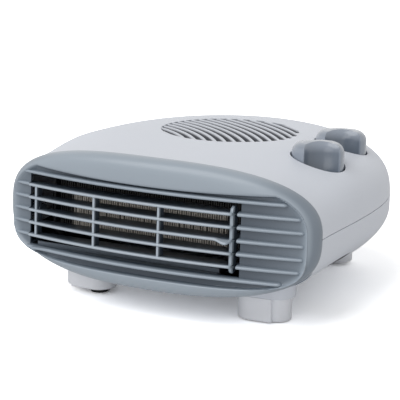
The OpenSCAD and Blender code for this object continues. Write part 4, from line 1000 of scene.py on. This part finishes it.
# Painted light: the front of the right end plate takes the unshaded copy, so it stays lit.
finish_faces(louvre, plate_blue_painted_lit, lambda x, y, z: (x > LOUVRE_RIGHT - END_T - 0.1)
             & (y - bow(LOUVRE_RIGHT) < 5.4))

# %% [markdown]
# ## The knobs
#
# A knob is a squat drum with a soft shoulder. Two hollows are pressed into its sides, so that a grip
# is left between them. The drum is a lathed profile, and the hollows are two upright round cutters
# that open outwards at the top, which rolls the edge of the grip.

# %% Knobs
KNOB_TOP, KNOB_LOW, SHOULDER, CROWN = 58.0, 26.0, 7.5, 1.2
BITE_R, GRIP_HALF, BITE_LOW = 16.65, 6.5, 31.0
ROLL_OUT, ROLL_H = 5.4, 8.0
POCKET_R_SQUARED, POCKET_Z = (16.6**2, 18.4**2), (49, 57)


def knob_finish(name, x, y):
    """Knob plastic whose hollows are painted darker than its top and drum, as painted shade."""
    def pocket(paint):
        px, py, pz = case_place(paint)
        off_x, off_y = px - x, py - y
        spread = off_x * off_x + off_y * off_y
        within = 1 - smooth_step(paint, spread, *POCKET_R_SQUARED)
        return within * (1 - smooth_step(paint, pz, *POCKET_Z))
    # Painted shade: the hollows of the grip darken towards a deeper blue.
    return moulded(f"{name} knob blue", (142, 150, 162), (137, 145, 157),
                   0.2, 0.06, BLUE_GRAIN, coat=0.4, painted_shade=(pocket, (106, 116, 129)))


def lathed(name, x, y, profile):
    """An upright round piece through pairs of radius and height."""
    turn = 2 * np.pi * np.arange(128) / 128
    return loft(name, [leaned(x + r * np.cos(turn), y + r * np.sin(turn), z) for r, z in profile])


def knob_form(name, x, y, angle):
    """The drum with its two hollows, at the angle of its grip."""
    profile = [(KNOB_R - 0.6, KNOB_LOW), (KNOB_R, KNOB_LOW + 0.6)]
    for t in np.linspace(0, np.pi / 2, 14):
        profile.append((KNOB_R - SHOULDER * (1 - math.cos(t)),
                        KNOB_TOP - CROWN - SHOULDER * (1 - math.sin(t))))
    for r in np.linspace(KNOB_R - SHOULDER, 0.3, 8)[1:]:
        profile.append((r, KNOB_TOP - CROWN * (r / (KNOB_R - SHOULDER)) ** 2))
    rise = [(BITE_R - 3, BITE_LOW), (BITE_R - 0.9, BITE_LOW + 0.9), (BITE_R, BITE_LOW + 3),
            (BITE_R, KNOB_TOP - ROLL_H)]
    for t in np.linspace(0.12, 1.5, 14):
        rise.append((BITE_R + ROLL_OUT * (1 - math.cos(t)),
                     KNOB_TOP - ROLL_H + (ROLL_H + 0.5) * math.sin(t)))
    bites = []
    for side in (-1, 1):
        away = side * (GRIP_HALF + BITE_R)
        bites.append(lathed("bite", x - away * math.sin(angle), y + away * math.cos(angle), rise))
    return shape(lathed(name, x, y, profile), "DIFFERENCE", *bites)


for name, knob in KNOBS.items():
    piece = knob_form(f"{name}_knob_grip", *knob)
    blue = knob_finish(name, knob.x, knob.y)
    finish_piece(piece, f"{name}_control", [f"{name}_knob"], blue, 28)

# %% [markdown]
# ## Heating strips
#
# The element is thin metal strip, folded many times between cards of mica. Its fine upright folds are
# what shines dimly behind the louvre. Each strip is one band, folded with narrow flat fronts that face
# the window, slightly uneven, and in one row clearly so.

# %% Folded strips
random_folds = np.random.default_rng(7)
ROWS, UNEVEN_ROW = 4, 1
CARD_T, CARD_GAP, FRAME_T = 0.6, 0.3, 1.5
ELEMENT_LEFT, ELEMENT_RIGHT = -WINDOW_LEFT + 10, WINDOW_RIGHT - 4
CARD_STEP = (ELEMENT_H - 2 * FRAME_T - CARD_T) / ROWS
FOLD, FOLD_MARGIN, FRONT_HALF, BACK_HALF, STRIP_T = 1.9, 4.6, 0.36, 0.2, 0.12
FOLD_COUNT = int((ELEMENT_RIGHT - ELEMENT_LEFT - 2 * FOLD_MARGIN) / FOLD) + 1


def folded_path(uneven):
    """Seen from above: flat at each front, slanting back, flat at each back, and forward again."""
    path = []
    for i in range(FOLD_COUNT):
        middle = ELEMENT_LEFT + FOLD_MARGIN + FOLD * i + random_folds.uniform(-uneven, uneven)
        front = ELEMENT_Y + 2.6 + random_folds.uniform(0, 0.7)
        back = ELEMENT_Y + ELEMENT_D - 2.9 - random_folds.uniform(0, 0.7)
        path += [(middle - FRONT_HALF, front), (middle + FRONT_HALF, front),
                 (middle + FOLD / 2 - BACK_HALF, back), (middle + FOLD / 2 + BACK_HALF, back)]
    return np.array(path)


for row in range(ROWS):
    low = -ELEMENT_H / 2 + FRAME_T + row * CARD_STEP + CARD_T + CARD_GAP
    high = low + CARD_STEP - CARD_T - 2 * CARD_GAP
    path = folded_path(0.5 if row == UNEVEN_ROW else 0.12)
    ahead = np.diff(path, axis=0, append=path[-1:] + [[1, 0]])
    across = np.stack([-ahead[:, 1], ahead[:, 0]], 1) / np.hypot(*ahead.T)[:, None] * STRIP_T / 2
    rings = []
    for k, (point, side) in enumerate(zip(path, across)):
        if k % 4 == 0:
            lift = random_folds.uniform(-0.2, 0.2)
        x, y = np.array([point - side, point + side, point + side, point - side]).T
        rings.append(leaned(x, y, np.array([low, low, high, high]) + lift))
    strip = loft(f"heating_strip_{row + 1}", rings)
    node = f"heating_ribbon_{row + 1}"
    finish_piece(strip, "heater_body", [node], heating_strip, 20)

# %% [markdown]
# ## Pieces kept from the solids
#
# What sits inside is hardly seen, and its solids already have the right shapes. They only get a
# finish, and those next to the window a black one, because no light reaches them in the picture.

# %% Finishes on the solids
KEPT = {
    "inner_plastic": black_plastic, "pale_plastic": pale_plastic, "zinc_steel": zinc,
    "motor_steel": dull_steel, "screw_steel": zinc, "shaft_steel": bright_steel, "mica": mica,
    "copper_wire": copper, "sintered_bronze": bronze, "shell_plastic": shell_grey,
    "trim_plastic": trim_blue, "heating_alloy": heating_strip, "rubber": rubber,
}
# Plain black as painted shade, for the case screws in their wells also as black phosphated steel.
SHADED = ("case_screws", "element_end_left", "element_end_right", "air_duct",
          "thermal_cutout", "thermal_fuse")
slot_of = {entry["node"]: entry["material_slot"] for entry in frame["record"]["subparts"]}
for node_name, node in frame["nodes"].items():
    for place in node.material_slots:
        place.material = shade_black if node_name in SHADED else KEPT[slot_of[node_name]]
print("solids with a finish:", len(slot_of))

# %% [markdown]
# ## Light and ground
#
# A pale floor and a bright surround give the even light of a catalogue picture. A broad sun from the
# front left draws the forms, a weak low one lights the front, and the surround fills the shadows. The
# camera sees the floor brighter than it is for the light, so that it fades into the white behind it.

# %% Floor, world and lights
FLOOR_HALF, PAPER, PAPER_SEEN = 60.0, 0.86, 2.0
corners = np.array([(-1, -1, 0), (1, -1, 0), (1, 1, 0), (-1, 1, 0)])
floor = add_mesh("floor", corners * FLOOR_HALF, [(0, 1, 2, 3)])
floor_paint = Paint(bpy.data.materials.new("floor white"))
floor.data.materials.append(bpy.data.materials["floor white"])
seen_floor = floor_paint.add("ShaderNodeLightPath", output="Is Camera Ray")
paper = floor_paint.mix(seen_floor, (*[PAPER] * 3, 1), (*[PAPER_SEEN] * 3, 1))
matt = floor_paint.add("ShaderNodeBsdfDiffuse", {"Color": paper})
floor_paint.add("ShaderNodeOutputMaterial", {"Surface": matt})

SKY_LEVEL = 0.52
world = bpy.data.worlds.new("studio")
bpy.context.scene.world = world
sky = Paint(world)
camera_ray = sky.add("ShaderNodeLightPath", output="Is Camera Ray")
glossy_ray = sky.add("ShaderNodeLightPath", output="Is Glossy Ray")
clear_ray = sky.add("ShaderNodeLightPath", output="Is Transmission Ray")
seen = sky.math("MINIMUM", camera_ray + glossy_ray + clear_ray, 1.0)
level = seen * (1 - SKY_LEVEL) + SKY_LEVEL
sky.add("ShaderNodeOutputWorld", {"Surface": sky.add("ShaderNodeBackground", {
    "Color": (1, 1, 1, 1), "Strength": level})})


def sun(name, azimuth, elevation, strength, spread):
    """A sun from a side and a height in degrees, as wide as its spread."""
    lamp = add_object(name, bpy.data.lights.new(name, "SUN"))
    lamp.data.energy = strength
    lamp.data.angle = math.radians(spread)
    lamp.rotation_euler = (math.radians(90 - elevation), 0, math.radians(azimuth))


sun("key", -25, 52, 1.35, 50)
sun("front", 10, 12, 0.4, 40)
bpy.context.scene.view_settings.view_transform = "Standard"
